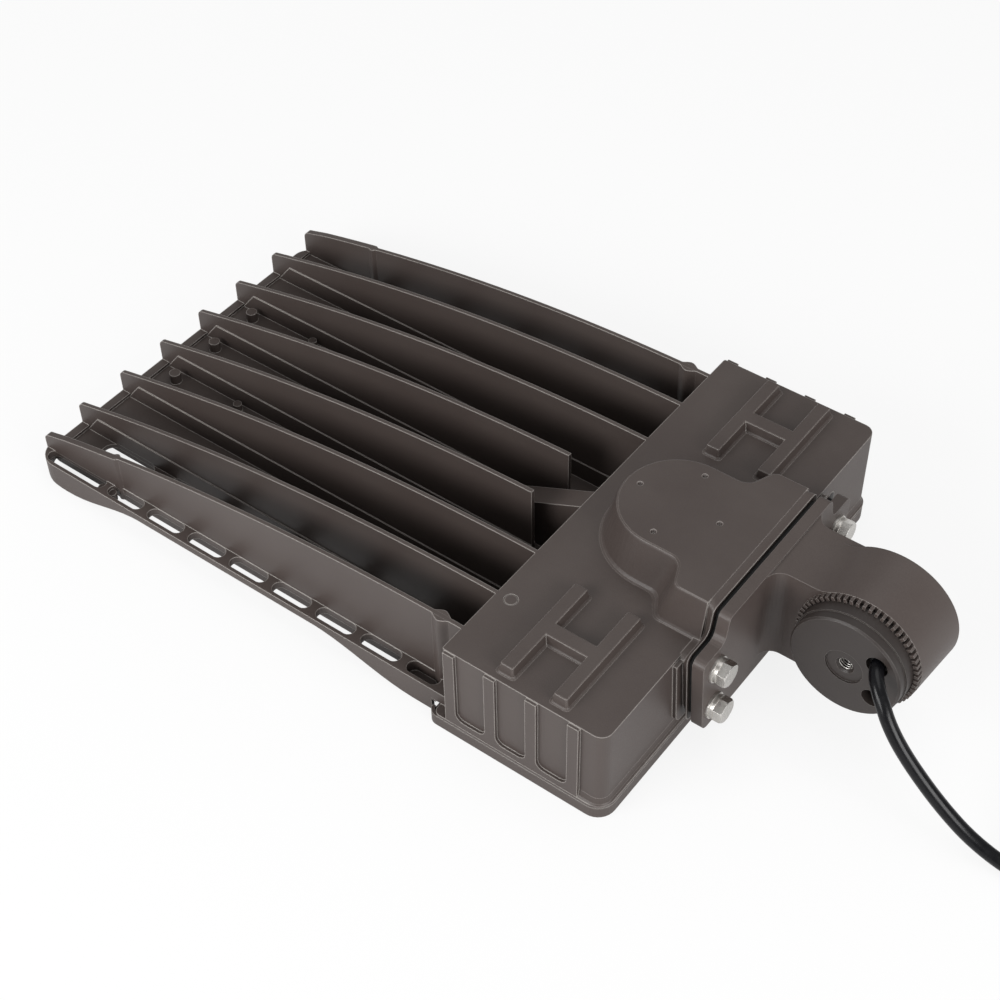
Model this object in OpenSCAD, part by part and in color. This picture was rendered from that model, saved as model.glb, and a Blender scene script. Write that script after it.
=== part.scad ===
// Shoebox area light: a die-cast finned head with a driver box, lying on its lens side,
// and a bolted arm that ends in a toothed tilt knuckle with the supply cord coming out of it.
// Millimetres. X runs from the front of the fins to the arm, Z is up from the table.
// The origin is on the table, under the middle of the light.

/* [Heat sink] */
// Length of the fins, front edge to driver box
fin_l = 323; // [280:1:400]
// Spacing of the inner fins
fin_pitch = 36; // [30:0.5:38]
// Number of inner fins
fin_n = 6; // [4:2:6]
// Thickness of a fin above its root
fin_t = 2.6; // [2:0.1:4]
// Extra thickness of a fin's root, each side
root_extra = 0.8; // [0.4:0.1:1.6]
// Top of the fins' roots above the table
root_z = 23; // [16:0.5:26]
// Top of the fins' rounded noses above the table
nose_z = 28.5; // [26:0.5:40]
// Radius of the fins' noses
nose_r = 4.5; // [2:0.5:8]
// Distance that the two middle fins stop short of the driver box
short_gap = 28.5; // [10:0.5:60]
// Floor between the fins above the table
floor_z = 10; // [9:0.5:14]
// Thickness of the floor
floor_t = 3; // [3:0.5:5]
// Height of the raised front lip over the floor
lip_h = 2; // [1:0.5:4]
// Width of the raised front lip
lip_w = 6; // [3:0.5:10]

// Distance that the outer fins and the rails start behind the inner fins
outer_x = 3; // [0:0.5:6]

/* [Side rails] */
// Width of a rail outside the outer fin
rail_w = 11.4; // [9:0.2:14]
// Top of the rail above the table
rail_z = 17.6; // [16:0.2:22]
// Thickness of the rail
rail_t = 5; // [3:0.5:7]
// Thickness of the skirt under the rail's edge
skirt_t = 2.4; // [1.6:0.2:4]
// Highest point of the arch under the skirt
arch_z = 12.8; // [8:0.2:14]
// Slots in each rail, the last one blind
slot_n = 8; // [4:1:9]
// Spacing of the slots
slot_pitch = 32.7; // [31:0.1:34]
// Length of a slot
slot_l = 27; // [20:0.5:28]
// Length of the window in front of the slots
window_l = 47; // [20:1:48]

/* [Driver box] */
// Length of the box along the light
box_l = 103; // [98:1:150]
// Width of the box between its side panels
box_w = 275.6; // [270:0.2:320]
// Top of the box above the table
box_z = 67; // [62:0.5:90]
// Wall of the box
wall = 3; // [2.5:0.1:5]
// Height by which the side ribs stand proud
rib_proud = 2; // [1:0.2:2.4]
// Width of a side rib
rib_w = 7; // [4:0.5:10]
// Spacing of the side ribs
rib_pitch = 26.5; // [22:0.5:28]
// Width of the bars of the top ribs
bar_w = 8; // [5:0.5:12]
// Height of the top ribs
bar_h = 6.4; // [3:0.2:10]
// Length of the top ribs across the light
bar_l = 67; // [40:1:72]
// Distance between the two bars of a top rib
bar_gap = 33.8; // [24:0.2:44]
// Distance of the top ribs from the middle of the box
bar_y = 98.2; // [96:0.2:100]
// Radius of the round pad on the box
pad_r = 34; // [26:0.5:36]
// Height of the round pad over the box
pad_h = 26.5; // [18:0.5:32]
// Outward slope of the pad's walls over its height
pad_draft = 7; // [3:0.5:9]
// Half width of the pad's shoulders at the arm
shoulder_w = 50; // [46:0.5:56]
// Radius of the ring of marks on the pad
mark_r = 25.4; // [15:0.2:28]

/* [Driver door] */
// Thickness of the door
door_t = 3; // [2.5:0.1:3.4]
// Height of the door's turned-up rim
rim_z = 7.6; // [6:0.2:8.8]
// Thickness of the rim
rim_t = 1.8; // [1.2:0.1:2.4]
// Gap between the rim and the box
rim_gap = 1.4; // [0.8:0.1:1.6]
// Diameter of the hinge pins
hinge_pin_d = 3; // [2:0.1:3.4]
// Length of a hinge pin
hinge_pin_l = 34; // [24:1:50]
// Distance of the hinges from the middle
hinge_y = 70; // [40:1:76]
// Diameter of the door's screws
door_screw_d = 5; // [4:0.5:6]

/* [Light engine] */
// Thickness of a light board
board_t = 1.6; // [1:0.1:1.6]
// Thickness of the lens plates
lens_t = 1.6; // [1.4:0.1:2]
// Radius of a lens dome
dome_r = 8; // [6:0.5:9]
// Height of a lens dome
dome_h = 2.9; // [2:0.1:3]
// Lens domes along a plate
dome_nx = 5; // [3:1:5]
// Lens domes across a plate
dome_ny = 3; // [2:1:3]
// Width of the lens gasket
seal_w = 4.4; // [3:0.2:5]
// Thickness of the lens frame
frame_t = 1.8; // [1.4:0.1:2]

/* [Driver] */
// Length of the driver
driver_l = 180; // [150:1:184]
// Width of the driver
driver_w = 68; // [50:1:72]
// Height of the driver
driver_h = 36; // [25:1:38]

/* [Arm] */
// Distance from the box to the knuckle's axis
arm_reach = 70.8; // [66:0.2:110]
// Thickness of the arm's plate
plate_t = 7; // [5:0.5:10]
// Width of the plate
plate_w = 150; // [146:1:156]
// Depth of the pad that the arm bolts on
seat_d = 7.5; // [5:0.5:10]
// Thickness of the arm's gasket
arm_seal_t = 3; // [2:0.1:5]
// Distance of the bolts from the middle
bolt_y = 61.5; // [58:0.5:66]
// Diameter of the bolts
bolt_d = 8; // [6:0.5:8]
// Hexagon of the bolts across its flats
hex_af = 13; // [12:0.5:14]
// Radius of the knuckle's barrel
barrel_r = 38.4; // [36:0.2:42]
// Length of the barrel
barrel_w = 37; // [36:0.5:44]
// Height of the knuckle's axis above the table
knuckle_z = 64.2; // [62:0.2:66]
// Height of the neck
neck_h = 63.5; // [50:0.5:66]
// Number of teeth
tooth_n = 60; // [36:4:72]
// Height of the teeth
tooth_h = 3.6; // [2:0.2:4]

/* [Hub] */
// Radius of the hub
hub_r = 32.2; // [29:0.1:32.6]
// Height of the hub over the teeth
hub_proud = 12; // [8:0.5:20]
// Radius of the tapped hole in the hub
tap_r = 4.25; // [3.3:0.05:5]
// Radius of the cable hole
cable_hole_r = 6.2; // [5:0.1:6.6]
// Distance of the cable hole from the hub's axis
cable_hole_off = 21.6; // [18.6:0.1:22.4]

/* [Fits] */
// Gap between the hub and its bore
hub_fit = 0.06; // [0.03:0.01:0.1]
// Gap between a hinge pin and its bore
pin_fit = 0.05; // [0.03:0.01:0.1]
// Gap between a screw and the hole that it turns in
screw_fit = 0.1; // [0.05:0.01:0.3]
// Gap between parts that lie side by side
side_gap = 0.3; // [0.2:0.05:0.5]

/* [Hidden] */

bronze = [0.27, 0.24, 0.22];
steel = [0.72, 0.72, 0.70];
black = [0.05, 0.05, 0.05];
eps = 0.01;
round_fn = 96;
small_fn = 40;

// Levels, from the table up
under_z = floor_z - floor_t;
lip_z = floor_z + lip_h;
board_z = under_z - board_t;
lens_z = board_z - lens_t;
frame_z = lens_z - frame_t;
sill_z = door_t + 2;
skirt_top_z = rail_z - rail_t;

// Places along the light, from the front of the fins
box_x = fin_l;
box_end = box_x + box_l;
seat_end = box_end + seat_d;
plate_x = seat_end + arm_seal_t;
plate_end = plate_x + plate_t;
barrel_x = box_end + arm_reach;
light_l = barrel_x + barrel_r;
rail_end = box_x + 1;
skirt_end = box_x - 13.5;

// Places across the light
rail_y = box_w / 2 - 4.8;
outer_fin_y = rail_y - rail_w - fin_t / 2;
bay_y = (fin_n / 2 - 0.5) * fin_pitch + 0.5;
bay_wall = 3;
land_w = 7;
recess_y = bay_y - bay_wall - land_w;
bay_end = box_x - 15;
recess_x = bay_wall + land_w + 1;
recess_end = bay_end - bay_wall - land_w - 1;

// Knuckle: the neck and the barrel sit off the middle, so that the joint is central
barrel_near = -8;
tooth_tip = barrel_near - tooth_h - 0.4;
hub_face = tooth_tip - hub_proud;
barrel_far = barrel_near + barrel_w;
neck_y = (barrel_near + barrel_far) / 2;
neck_z = knuckle_z + 26.8 - neck_h;
cavity_y = barrel_near + 12;

// Top of the fins: one arc, level where it meets the box
fin_rise = box_z - nose_z;
fin_top_r = (pow(fin_l - nose_r, 2) + pow(fin_rise, 2)) / (2 * fin_rise);

// Door
rim_y = box_w / 2 - 1 + rim_gap + rim_t;
door_end = box_end - 1 + rim_gap + rim_t;
foot_r = 11;
hinge_x = box_x - 9;
hinge_z = 3;
hinge_barrel_r = 2.9;
door_front = hinge_x - 2.4;
door_screw_x = box_end - 11;
door_screw_y = box_w / 2 - 11;

function arc(cx, cy, r, a0, a1, n) =
    [for (i = [0 : n]) let (a = a0 + (a1 - a0) * i / n) [cx + r * cos(a), cy + r * sin(a)]];

// Height of a fin's top edge at x
front_wall_l = 64;
function fin_top(x) = box_z - fin_top_r + sqrt(pow(fin_top_r, 2) - pow(fin_l - x, 2));

// Puts what is modelled from the front of the fins over the origin
module placed() {
    translate([-light_l / 2, 0, 0]) children();
}

module mirrored() {
    children();
    mirror([0, 1, 0]) children();
}

// Plan of a rounded rectangle; its front corners can have their own radius
module plan_rect(x0, x1, y, r, front = 0) {
    f = front > 0 ? front : r;
    polygon(concat(
        arc(x0 + f, -y + f, f, 180, 270, 8), arc(x1 - r, -y + r, r, 270, 360, 8),
        arc(x1 - r, y - r, r, 0, 90, 8), arc(x0 + f, y - f, f, 90, 180, 8)));
}

module slot_plan(l, w) {
    square([l - w, w], center = true);
    for (s = [-1, 1]) translate([s * (l - w) / 2, 0]) circle(d = w, $fn = small_fn);
}

// Draws an outline in the X-Z plane and gives it a thickness along Y, from y0 to y1
module side_plate(y0, y1) {
    translate([0, y1, 0]) rotate([90, 0, 0]) linear_extrude(y1 - y0) children();
}

// Draws an outline in the Y-Z plane and gives it a thickness along X, from x0 to x1
module end_plate(x0, x1) {
    translate([x0, 0, 0]) rotate([90, 0, 90]) linear_extrude(x1 - x0) children();
}

module hole_z(x, y, z0, z1, r) {
    translate([x, y, z0]) cylinder(r = r, h = z1 - z0, $fn = small_fn);
}

module hole_x(x0, x1, y, z, r) {
    translate([x0, y, z]) rotate([0, 90, 0]) cylinder(r = r, h = x1 - x0, $fn = small_fn);
}

module hole_y(x, y0, y1, z, r, fn = small_fn) {
    translate([x, y0, z]) rotate([-90, 0, 0]) cylinder(r = r, h = y1 - y0, $fn = fn);
}

// A round tube swept along points, with closed flat ends
function unit(v) = v / norm(v);
function tangent(p, i) = unit(p[min(i + 1, len(p) - 1)] - p[max(i - 1, 0)]);
function tube_points(p, r, sides, up) = [
    for (i = [0 : len(p) - 1]) let (t = tangent(p, i), u = unit(cross(t, up)), v = cross(t, u))
        for (k = [0 : sides - 1]) let (a = 360 * k / sides) p[i] + r * (u * cos(a) + v * sin(a))];
function tube_faces(n, sides) = concat(
    [[for (k = [0 : sides - 1]) k]],
    [for (i = [0 : n - 2], k = [0 : sides - 1]) let (j = (k + 1) % sides)
        [i * sides + k, (i + 1) * sides + k, (i + 1) * sides + j]],
    [for (i = [0 : n - 2], k = [0 : sides - 1]) let (j = (k + 1) % sides)
        [i * sides + k, (i + 1) * sides + j, i * sides + j]],
    [[for (k = [sides - 1 : -1 : 0]) (n - 1) * sides + k]]);
module tube(p, r, sides, up) {
    polyhedron(tube_points(p, r, sides, up), tube_faces(len(p), sides), convexity = 10);
}

// Housing, one casting: floor, fins, rails, driver box, pads and ribs

module fin_outline(l, x0 = 0) {
    f = x0 + nose_r;
    polygon(concat([[x0, under_z + 1]],
        arc(f, nose_z - nose_r, nose_r, 180, 95, 6),
        [for (i = [1 : 24]) let (x = f + (l - f) * i / 24) [x, fin_top(x)]],
        [[l, under_z + 1]]));
}

module root_outline(l) {
    polygon([[lip_w - 1, floor_z - 1], [lip_w, floor_z], [lip_w + 10, root_z],
        [l, root_z], [l, floor_z - 1]]);
}

module fin(y, l) {
    side_plate(y - fin_t / 2, y + fin_t / 2) fin_outline(l);
    side_plate(y - fin_t / 2 - root_extra, y + fin_t / 2 + root_extra) root_outline(l);
}

module fins() {
    for (i = [0 : fin_n - 1]) {
        y = (i - (fin_n - 1) / 2) * fin_pitch;
        middle = abs(y) < fin_pitch;
        fin(y, middle ? fin_l - short_gap : fin_l + 1);
    }
    mirrored() side_plate(-outer_fin_y - fin_t / 2, -outer_fin_y + fin_t / 2)
        fin_outline(fin_l + 1, outer_x);
    mirrored() side_plate(-outer_fin_y - fin_t / 2 - 1.4, -outer_fin_y) intersection() {
        fin_outline(fin_l, outer_x);
        translate([0, rail_z - 1]) square([front_wall_l, box_z]);
    }
    mirrored() fin_post(box_x - 14, 7, 4);
    mirrored() fin_post(front_wall_l, 4, 2.7);
}

// Post that swells out of both sides of an outer fin, level with the fin's top
module fin_post(x, half_l, swell) {
    function width(t) = fin_t / 2 - 0.2 + (swell - fin_t / 2 + 0.2) * (1 + cos(180 * t)) / 2;
    edge = [for (i = [-6 : 6]) [x + half_l * i / 6, width(i / 6)]];
    intersection() {
        translate([0, -outer_fin_y, under_z]) linear_extrude(box_z)
            polygon(concat(edge, [for (i = [12 : -1 : 0]) [edge[i][0], -edge[i][1]]]));
        translate([0, 0, -0.05]) side_plate(-box_w, box_w) fin_outline(fin_l + 1);
    }
}

module floor_plate() {
    translate([0, 0, under_z]) linear_extrude(floor_t)
        plan_rect(0, box_x + 1, outer_fin_y + fin_t / 2, 6, 10);
    translate([0, 0, under_z]) linear_extrude(floor_t + lip_h) intersection() {
        plan_rect(0, box_x, outer_fin_y + fin_t / 2, 6, 10);
        translate([0, -outer_fin_y]) square([lip_w, 2 * outer_fin_y]);
    }
    translate([0, 0, frame_z - 0.5]) linear_extrude(under_z - frame_z + 1)
        plan_rect(0, bay_end, bay_y, 5);
}

// Rails with a skirt that arches between its feet; over the door's hinge only its upper band runs on
band_z = rim_z + 2.2;
function arch(x) = let (f0 = 26, f1 = 92, r0 = skirt_end - 88, r1 = skirt_end - 12)
    x < f0 ? 0 : x < f1 ? arch_z * (1 - cos(180 * (x - f0) / (f1 - f0))) / 2
    : x < r0 ? arch_z : x < r1 ? arch_z * (1 + cos(180 * (x - r0) / (r1 - r0))) / 2 : 0;

module skirt_outline() {
    polygon(concat([for (p = [[0, 10], [2, 6.5], [6, 3.5], [12, 1.4]]) [outer_x + p[0], p[1]]],
        [[21, 0.3]], [for (i = [0 : 40]) let (x = 26 + (skirt_end - 26) * i / 40) [x, arch(x)]],
        [[skirt_end, band_z], [rail_end, band_z], [rail_end, rail_z], [outer_x, rail_z]]));
}

module rails() {
    front_r = 14;
    difference() {
        union() {
            intersection() {
                translate([0, 0, skirt_top_z]) linear_extrude(rail_t)
                    plan_rect(outer_x, rail_end + 40, rail_y, front_r);
                mirrored() translate([0, -rail_y, 0])
                    cube([rail_end, rail_w + fin_t, rail_z]);
            }
            intersection() {
                linear_extrude(rail_z) difference() {
                    plan_rect(outer_x, rail_end + 40, rail_y, front_r);
                    plan_rect(outer_x + skirt_t, rail_end + 60, rail_y - skirt_t, front_r - skirt_t);
                    translate([-1, -outer_fin_y]) square([fin_l + 80, 2 * outer_fin_y]);
                }
                side_plate(-box_w, box_w) skirt_outline();
            }
            mirrored() translate([pocket_x - slot_l / 2, -rail_y + 0.6, rail_z - pocket_d - 2])
                cube([slot_l - 1, rail_w, pocket_d]);
        }
        mirrored() rail_slots();
    }
    // Two small bosses under the bar behind the window
    mirrored() for (s = [-1, 1])
        hole_z(57.5 + s * 3.9, -rail_y + 6.3, skirt_top_z - 3, rail_z - 2.4, 2.8);
}

// The last slot is a deep blind pocket
first_x = 73;
pocket_x = first_x + (slot_n - 1) * slot_pitch - 2.5;
pocket_d = 8;
module rail_slots() {
    slot_w = rail_w - skirt_t - 0.4;
    slot_y = -rail_y + skirt_t + slot_w / 2;
    for (i = [0 : slot_n - 2]) translate([first_x + i * slot_pitch, slot_y, skirt_top_z - 1])
        linear_extrude(rail_t + 2) slot_plan(slot_l, slot_w);
    translate([pocket_x, slot_y, rail_z - pocket_d])
        linear_extrude(pocket_d + 2) slot_plan(slot_l - 5, slot_w);
    translate([first_x - slot_l / 2 - 4 - window_l / 2, slot_y, skirt_top_z - 1])
        linear_extrude(rail_t + 2) slot_plan(window_l, slot_w);
}

module floor_holes() {
    hole_l = 40;
    gap_y = bay_y + 1.2;
    hole_w = outer_fin_y - fin_t / 2 - 1.5 - gap_y;
    mirrored() for (i = [0 : 4])
        translate([46 + 51 * i, -gap_y - hole_w / 2, under_z - 1]) linear_extrude(floor_t + 2)
            plan_rect(-hole_l / 2, hole_l / 2, hole_w / 2, 7);
}

// Cast posts between the fins: three wide ones in front and five slim ones
module posts() {
    for (y = [-28, 9, 45]) hole_z(20, y, floor_z - 1, floor_z + 7, 3.6);
    for (p = [[69.5, 48.5], [70.5, 22.5], [70, -24.5], [118, 12], [227, 24.5]])
        hole_z(p[0], p[1], floor_z - 1, floor_z + 5, 2.8);
}

// Hollow foot that runs out of the box's walls onto the flange: height above it and step out
foot_out = min(rim_gap + rim_t - 1.4, 2.6);
foot_levels = [[-1, foot_out], [0, foot_out], [0.9, foot_out / 2], [2.4, foot_out / 4], [5, 0.05],
    [5.6, -0.5]];
module box_shell() {
    translate([0, 0, sill_z]) linear_extrude(5) plan_rect(box_x, box_end - 1, box_w / 2 - 1, 6, 2);
    translate([0, 0, rim_z + 0.6]) linear_extrude(box_z - rim_z - 0.6)
        plan_rect(box_x, box_end, box_w / 2, 7, 1.2);
    translate([0, 0, rim_z + side_gap]) linear_extrude(2)
        plan_rect(hinge_x + 2, door_end, rim_y, foot_r, 4);
    skin([for (l = foot_levels) bar_ring((box_x + 3 + box_end) / 2, (box_end - box_x - 3) / 2 + l[1],
        box_w / 2 + l[1], 7 + l[1], rim_z + side_gap + 2 + l[0], 9)]);
    mirrored() side_ribs();
}

module side_ribs() {
    first_x = box_x + 1.6;
    foot_z = rim_z + 2;
    band_l = 3 * rib_pitch + rib_w;
    difference() {
        translate([first_x, -box_w / 2 - rib_proud, foot_z])
            cube([band_l, rib_proud + 1, box_z - foot_z - 0.6]);
        for (i = [0 : 2]) side_plate(-box_w, -box_w / 2)
            translate([first_x + rib_w + i * rib_pitch, foot_z + 5]) panel_outline();
    }
}

module panel_outline() {
    l = rib_pitch - rib_w;
    polygon(concat([[0, box_z]], arc(5, 5, 5, 180, 270, 6), arc(l - 5, 5, 5, 270, 360, 6),
        [[l, box_z]]));
}

// Round pad with shoulders; its walls slope out to a foot with a small fillet
pad_x = box_end - 47.2;
function pad_plan(grow) = let (r = pad_r + grow, half = shoulder_w + 0.8 + 0.65 * grow,
        x = pad_x + 16 - grow, end = box_end + 3) concat(
    arc(pad_x, 0, r, 90, 270, 32), arc(x, -r - 9, 9, 90, 20, 6),
    arc(pad_x + 33 - grow, -half + 6, 6, 200, 270, 6), [[end, -half]], [[end, half]],
    arc(pad_x + 33 - grow, half - 6, 6, 90, 160, 6), arc(x, r + 9, 9, -20, -90, 6));
pad_levels = [[-0.5, pad_draft + 1.6], [0, pad_draft + 1.6], [0.6, pad_draft + 0.5], [2, pad_draft - 0.5],
    [pad_h - 1.5, 0.3], [pad_h - 0.5, -0.2], [pad_h, -1]];

// Skin over rings that have the same number of points each; a hollow outline has its end in flat strips
module skin(rings, strips = []) {
    m = len(rings[0]);
    n = len(rings);
    ends = len(strips) > 0 ? strips : [[for (k = [0 : m - 1]) k]];
    polyhedron([for (r = rings, p = r) p], concat(
        ends,
        [for (i = [0 : n - 2], k = [0 : m - 1]) let (j = (k + 1) % m)
            [i * m + k, (i + 1) * m + j, i * m + j]],
        [for (i = [0 : n - 2], k = [0 : m - 1]) let (j = (k + 1) % m)
            [i * m + k, (i + 1) * m + k, (i + 1) * m + j]],
        [for (f = ends) [for (k = [len(f) - 1 : -1 : 0]) (n - 1) * m + f[k]]]), convexity = 4);
}

// Strips across the pad, from its near side to the same point of its far side
pad_strips = concat([for (k = [0 : 14]) [k, k + 1, 31 - k, 32 - k]], [[15, 16, 17], [0, 32, 33, 62]],
    [for (k = [33 : 46]) [k, k + 1, 94 - k, 95 - k]]);

module top_pad() {
    skin([for (l = pad_levels) [for (p = pad_plan(l[1])) [p[0], p[1], box_z + l[0]]]], pad_strips);
}

// Stiffening ribs: two bars and a cross bar, with sloping walls and a small foot
function bar_ring(x, half_l, half_w, r, z, n = 3) = [for (p = concat(
    arc(half_l - r, half_w - r, r, 0, 90, n), arc(r - half_l, half_w - r, r, 90, 180, n),
    arc(r - half_l, r - half_w, r, 180, 270, n), arc(half_l - r, r - half_w, r, 270, 360, n)))
    [x + p[0], p[1], z]];
rib_levels = [[-0.5, 2.2], [0.02, 2.2], [0.4, 1.6], [1, 1.15], [bar_h - 0.7, 0.15],
    [bar_h - 0.2, -0.05], [bar_h, -0.5]];
module top_ribs() {
    for (s = [-1, 1]) translate([box_x + 54.3, s * bar_y, box_z]) {
        for (t = [-1, 1]) skin([for (l = rib_levels) bar_ring(t * bar_gap / 2, bar_w / 2 + l[1],
            bar_l / 2 + l[1], 1 + max(l[1], 0) * 0.6, l[0])]);
        skin([for (l = rib_levels) bar_ring(0, bar_gap / 2, bar_w / 2 + 0.5 + l[1], 1, l[0])]);
    }
}

// Outline of the arm's plate, seen along the light: ears for the bolts and a shoulder over them
plate_top = box_z + pad_h - 1.5;
plate_low = 17.2;
bolt_levels = [31.8, box_z - bolt_d / 2 - 1.2];
plate_ear = bolt_levels[1] + 13.9;
function plate_points(half, low, ear, top, shoulder) =
    let (hollow = min(6, top - 4.5 - ear), right = concat(
        arc(half - 10, low + 6, 6, 270, 355, 5), arc(half - 4.5, ear - 4.5, 4.5, 0, 90, 6),
        arc(shoulder + 7.5, ear + hollow, hollow, 270, 190, 5),
        arc(shoulder - 4, top - 4, 4, 10, 90, 5)), m = len(right))
    concat(right, [for (i = [m - 1 : -1 : 0]) [-right[i][0], right[i][1]]]);
module plate_outline(grow = 0) {
    polygon(plate_points(plate_w / 2 + grow, plate_low - grow, plate_ear + grow, plate_top + grow,
        shoulder_w + 2.5 + grow));
}

// Seat that the arm bolts on: a collar round the box's end wall and a flare out of the pad
seat_strips = concat([for (k = [0 : 10]) [k, k + 1, 48 - k, 49 - k]], [[11, 12, 13, 36, 37, 38]],
    [for (k = [13 : 23]) [k, k + 1, 48 - k, 49 - k]]);
module arm_seat() {
    end_plate(box_end - 1, box_end + 2.6) intersection() {
        plate_outline(2);
        translate([-100, 0]) square([200, box_z - 1.5]);
    }
    function mix(a, b, t) = a + (b - a) * t;
    skin([for (l = [[-1, 0], [3, 0], [seat_d - 3, 0.2], [seat_d - 1.5, 0.6], [seat_d - 0.5, 0.93],
            [seat_d, 1]])
        [for (p = plate_points(mix(plate_w / 2 - 4, plate_w / 2, l[1]),
                mix(plate_low + 3.5, plate_low, l[1]), mix(box_z + 0.3, plate_ear, l[1]),
                mix(plate_top + 1.4, plate_top - 0.2, l[1]),
                mix(shoulder_w + 0.6, shoulder_w + 2.5, l[1])))
            [box_end + l[0], p[0], p[1]]]], seat_strips);
}

// Sloping duct that takes the leads from the driver box down to the light boards
duct_w = 14.4;
duct_slope = 0.5;
duct_top = box_z - 4.5;
module duct() {
    run = (duct_top - floor_z + 1) / duct_slope;
    side_plate(-duct_w / 2, duct_w / 2)
        polygon([[box_x - run, floor_z - 1], [box_x + 1, duct_top], [box_x + 1, floor_z - 1]]);
}

module duct_bore() {
    angle = atan(duct_slope);
    translate([box_x + 8, 0, duct_top - 5.5]) rotate([0, -90 - angle, 0])
        cylinder(r = 4, h = 140, $fn = small_fn);
}

module box_cavity() {
    z0 = sill_z - 1;
    translate([0, 0, z0]) linear_extrude(box_z - wall - z0)
        plan_rect(box_x + wall, box_end - wall, box_w / 2 - wall - 0.2, 5);
    hole_z(pad_x, 0, box_z - wall - 1, box_z + pad_h - wall, pad_r - wall - 1);
}

// Bosses inside the driver box
driver_x = box_x + box_l / 2 - 1.5;
driver_screw_dx = driver_w / 2 - 12;
driver_screw_dy = driver_l / 2 + 6;
tray_z = box_z - wall - 5;
module box_bosses() {
    z1 = box_z - wall + 1;
    mirrored() hole_z(door_screw_x, door_screw_y, sill_z, z1, 8.5);
    for (sx = [-1, 1], sy = [-1, 1])
        hole_z(driver_x + sx * driver_screw_dx, sy * driver_screw_dy, tray_z + 1.5 + 0.1, z1, 4.5);
    intersection() {
        mirrored() for (z = bolt_levels) hole_x(box_end - 9, box_end - 1, bolt_y, z, 8);
        translate([0, -box_w, 0]) cube([box_end, 2 * box_w, box_z - 1]);
    }
}

frame_screw_xs = [for (i = [0 : 4]) 30 + (bay_end - 60) * i / 4];
frame_screw_places = concat(
    [for (x = frame_screw_xs, s = [-1, 1]) [x, s * (recess_y + land_w / 2)]],
    [for (y = [-40, 0, 40]) [bay_wall + land_w / 2 + 0.5, y]],
    [for (y = [-40, 40]) [bay_end - bay_wall - land_w / 2 - 0.5, y]]);

module housing() color(bronze) placed() {
    difference() {
        union() {
            floor_plate();
            fins();
            rails();
            box_shell();
            top_pad();
            top_ribs();
            arm_seat();
            duct();
            posts();
            hinge_lugs();
        }
        box_cavity();
        floor_holes();
        light_recess();
        housing_cuts();
        duct_bore();
    }
    difference() {
        box_bosses();
        housing_cuts();
    }
}

// Recess for the light boards, with a land that carries the lens frame
module light_recess() {
    translate([0, 0, lens_z - 20]) linear_extrude(under_z - lens_z + 20)
        plan_rect(recess_x, recess_end, recess_y, 4);
    translate([0, 0, frame_z - 20]) linear_extrude(lens_z - frame_z + 20)
        plan_rect(bay_wall, bay_end - bay_wall, bay_y - bay_wall, 3);
}

module housing_cuts() {
    for (p = frame_screw_places) hole_z(p[0], p[1], -5, under_z + 2, 1.5 + screw_fit);
    mirrored() hole_z(door_screw_x, door_screw_y, sill_z - 5, sill_z + 16, door_screw_d / 2 + 0.35);
    for (sx = [-1, 1], sy = [-1, 1])
        hole_z(driver_x + sx * driver_screw_dx, sy * driver_screw_dy, tray_z, box_z - 1.4, 2 + screw_fit);
    mirrored() for (z = bolt_levels)
        hole_x(box_end - 8, seat_end + 1, bolt_y, z, bolt_d / 2 + screw_fit);
    hole_x(box_end - wall - 2, seat_end + 1, neck_y, knuckle_z - 3, 10);
    for (a = [0, 90, 180, 270])
        translate([pad_x + mark_r * cos(a), mark_r * sin(a), box_z + pad_h - 1.5])
            cylinder(r1 = 0.7, r2 = 1.7, h = 1.55, $fn = 24);
    translate([box_x + 9.4, 47.8 - box_w / 2, box_z - 0.3]) ring_mark(4);
}

module ring_mark(r) {
    difference() {
        cylinder(r = r, h = 1, $fn = small_fn);
        translate([0, 0, -1]) cylinder(r = r - 0.5, h = 3, $fn = small_fn);
    }
}

// Lugs on the casting that hold the door's hinge pins; each pair holds one pin
lug_w = 5;
lug_y = hinge_pin_l / 2 - lug_w / 2;
module hinge_lugs() {
    for (s = [-1, 1], t = [-1, 1]) translate([0, s * hinge_y + t * lug_y, 0]) difference() {
        side_plate(-lug_w / 2, lug_w / 2) polygon(concat(
            arc(hinge_x, hinge_z, hinge_barrel_r, 180, 360, 12),
            [[hinge_x + hinge_barrel_r, under_z + 1], [hinge_x - hinge_barrel_r, under_z + 1]]));
        hole_y(hinge_x, -lug_w, lug_w, hinge_z, hinge_pin_d / 2 + pin_fit);
    }
}

// Light engine

board_gap = 1;
bay_seal = seal_w + side_gap;
board_l = (recess_end - recess_x - 2 * bay_seal - board_gap) / 2 - side_gap;
board_w = recess_y - bay_seal - 5.5 - side_gap;
function board_x(i) = (recess_x + recess_end) / 2 + (i % 2 == 0 ? -1 : 1) * (board_l + board_gap) / 2;
function board_y(i) = (i < 2 ? -1 : 1) * (5.5 + board_w / 2);

// Children are drawn at each lens of board i
module at_lenses(i) {
    dx = (board_l - 8) / dome_nx;
    dy = (board_w - 4) / dome_ny;
    for (a = [0 : dome_nx - 1], b = [0 : dome_ny - 1])
        translate([board_x(i) + (a - (dome_nx - 1) / 2) * dx, board_y(i) + (b - (dome_ny - 1) / 2) * dy, 0])
            children();
}

module led_board(i) color([0.9, 0.9, 0.88]) placed() difference() {
    translate([board_x(i) - board_l / 2, board_y(i) - board_w / 2, board_z])
        cube([board_l, board_w, board_t]);
    for (s = [-1, 1], t = [-1, 1])
        hole_z(board_x(i) + s * (board_l / 2 - 4), board_y(i) + t * (board_w / 2 - 4), board_z - 1,
            under_z + 1, 1.7);
}

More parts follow.
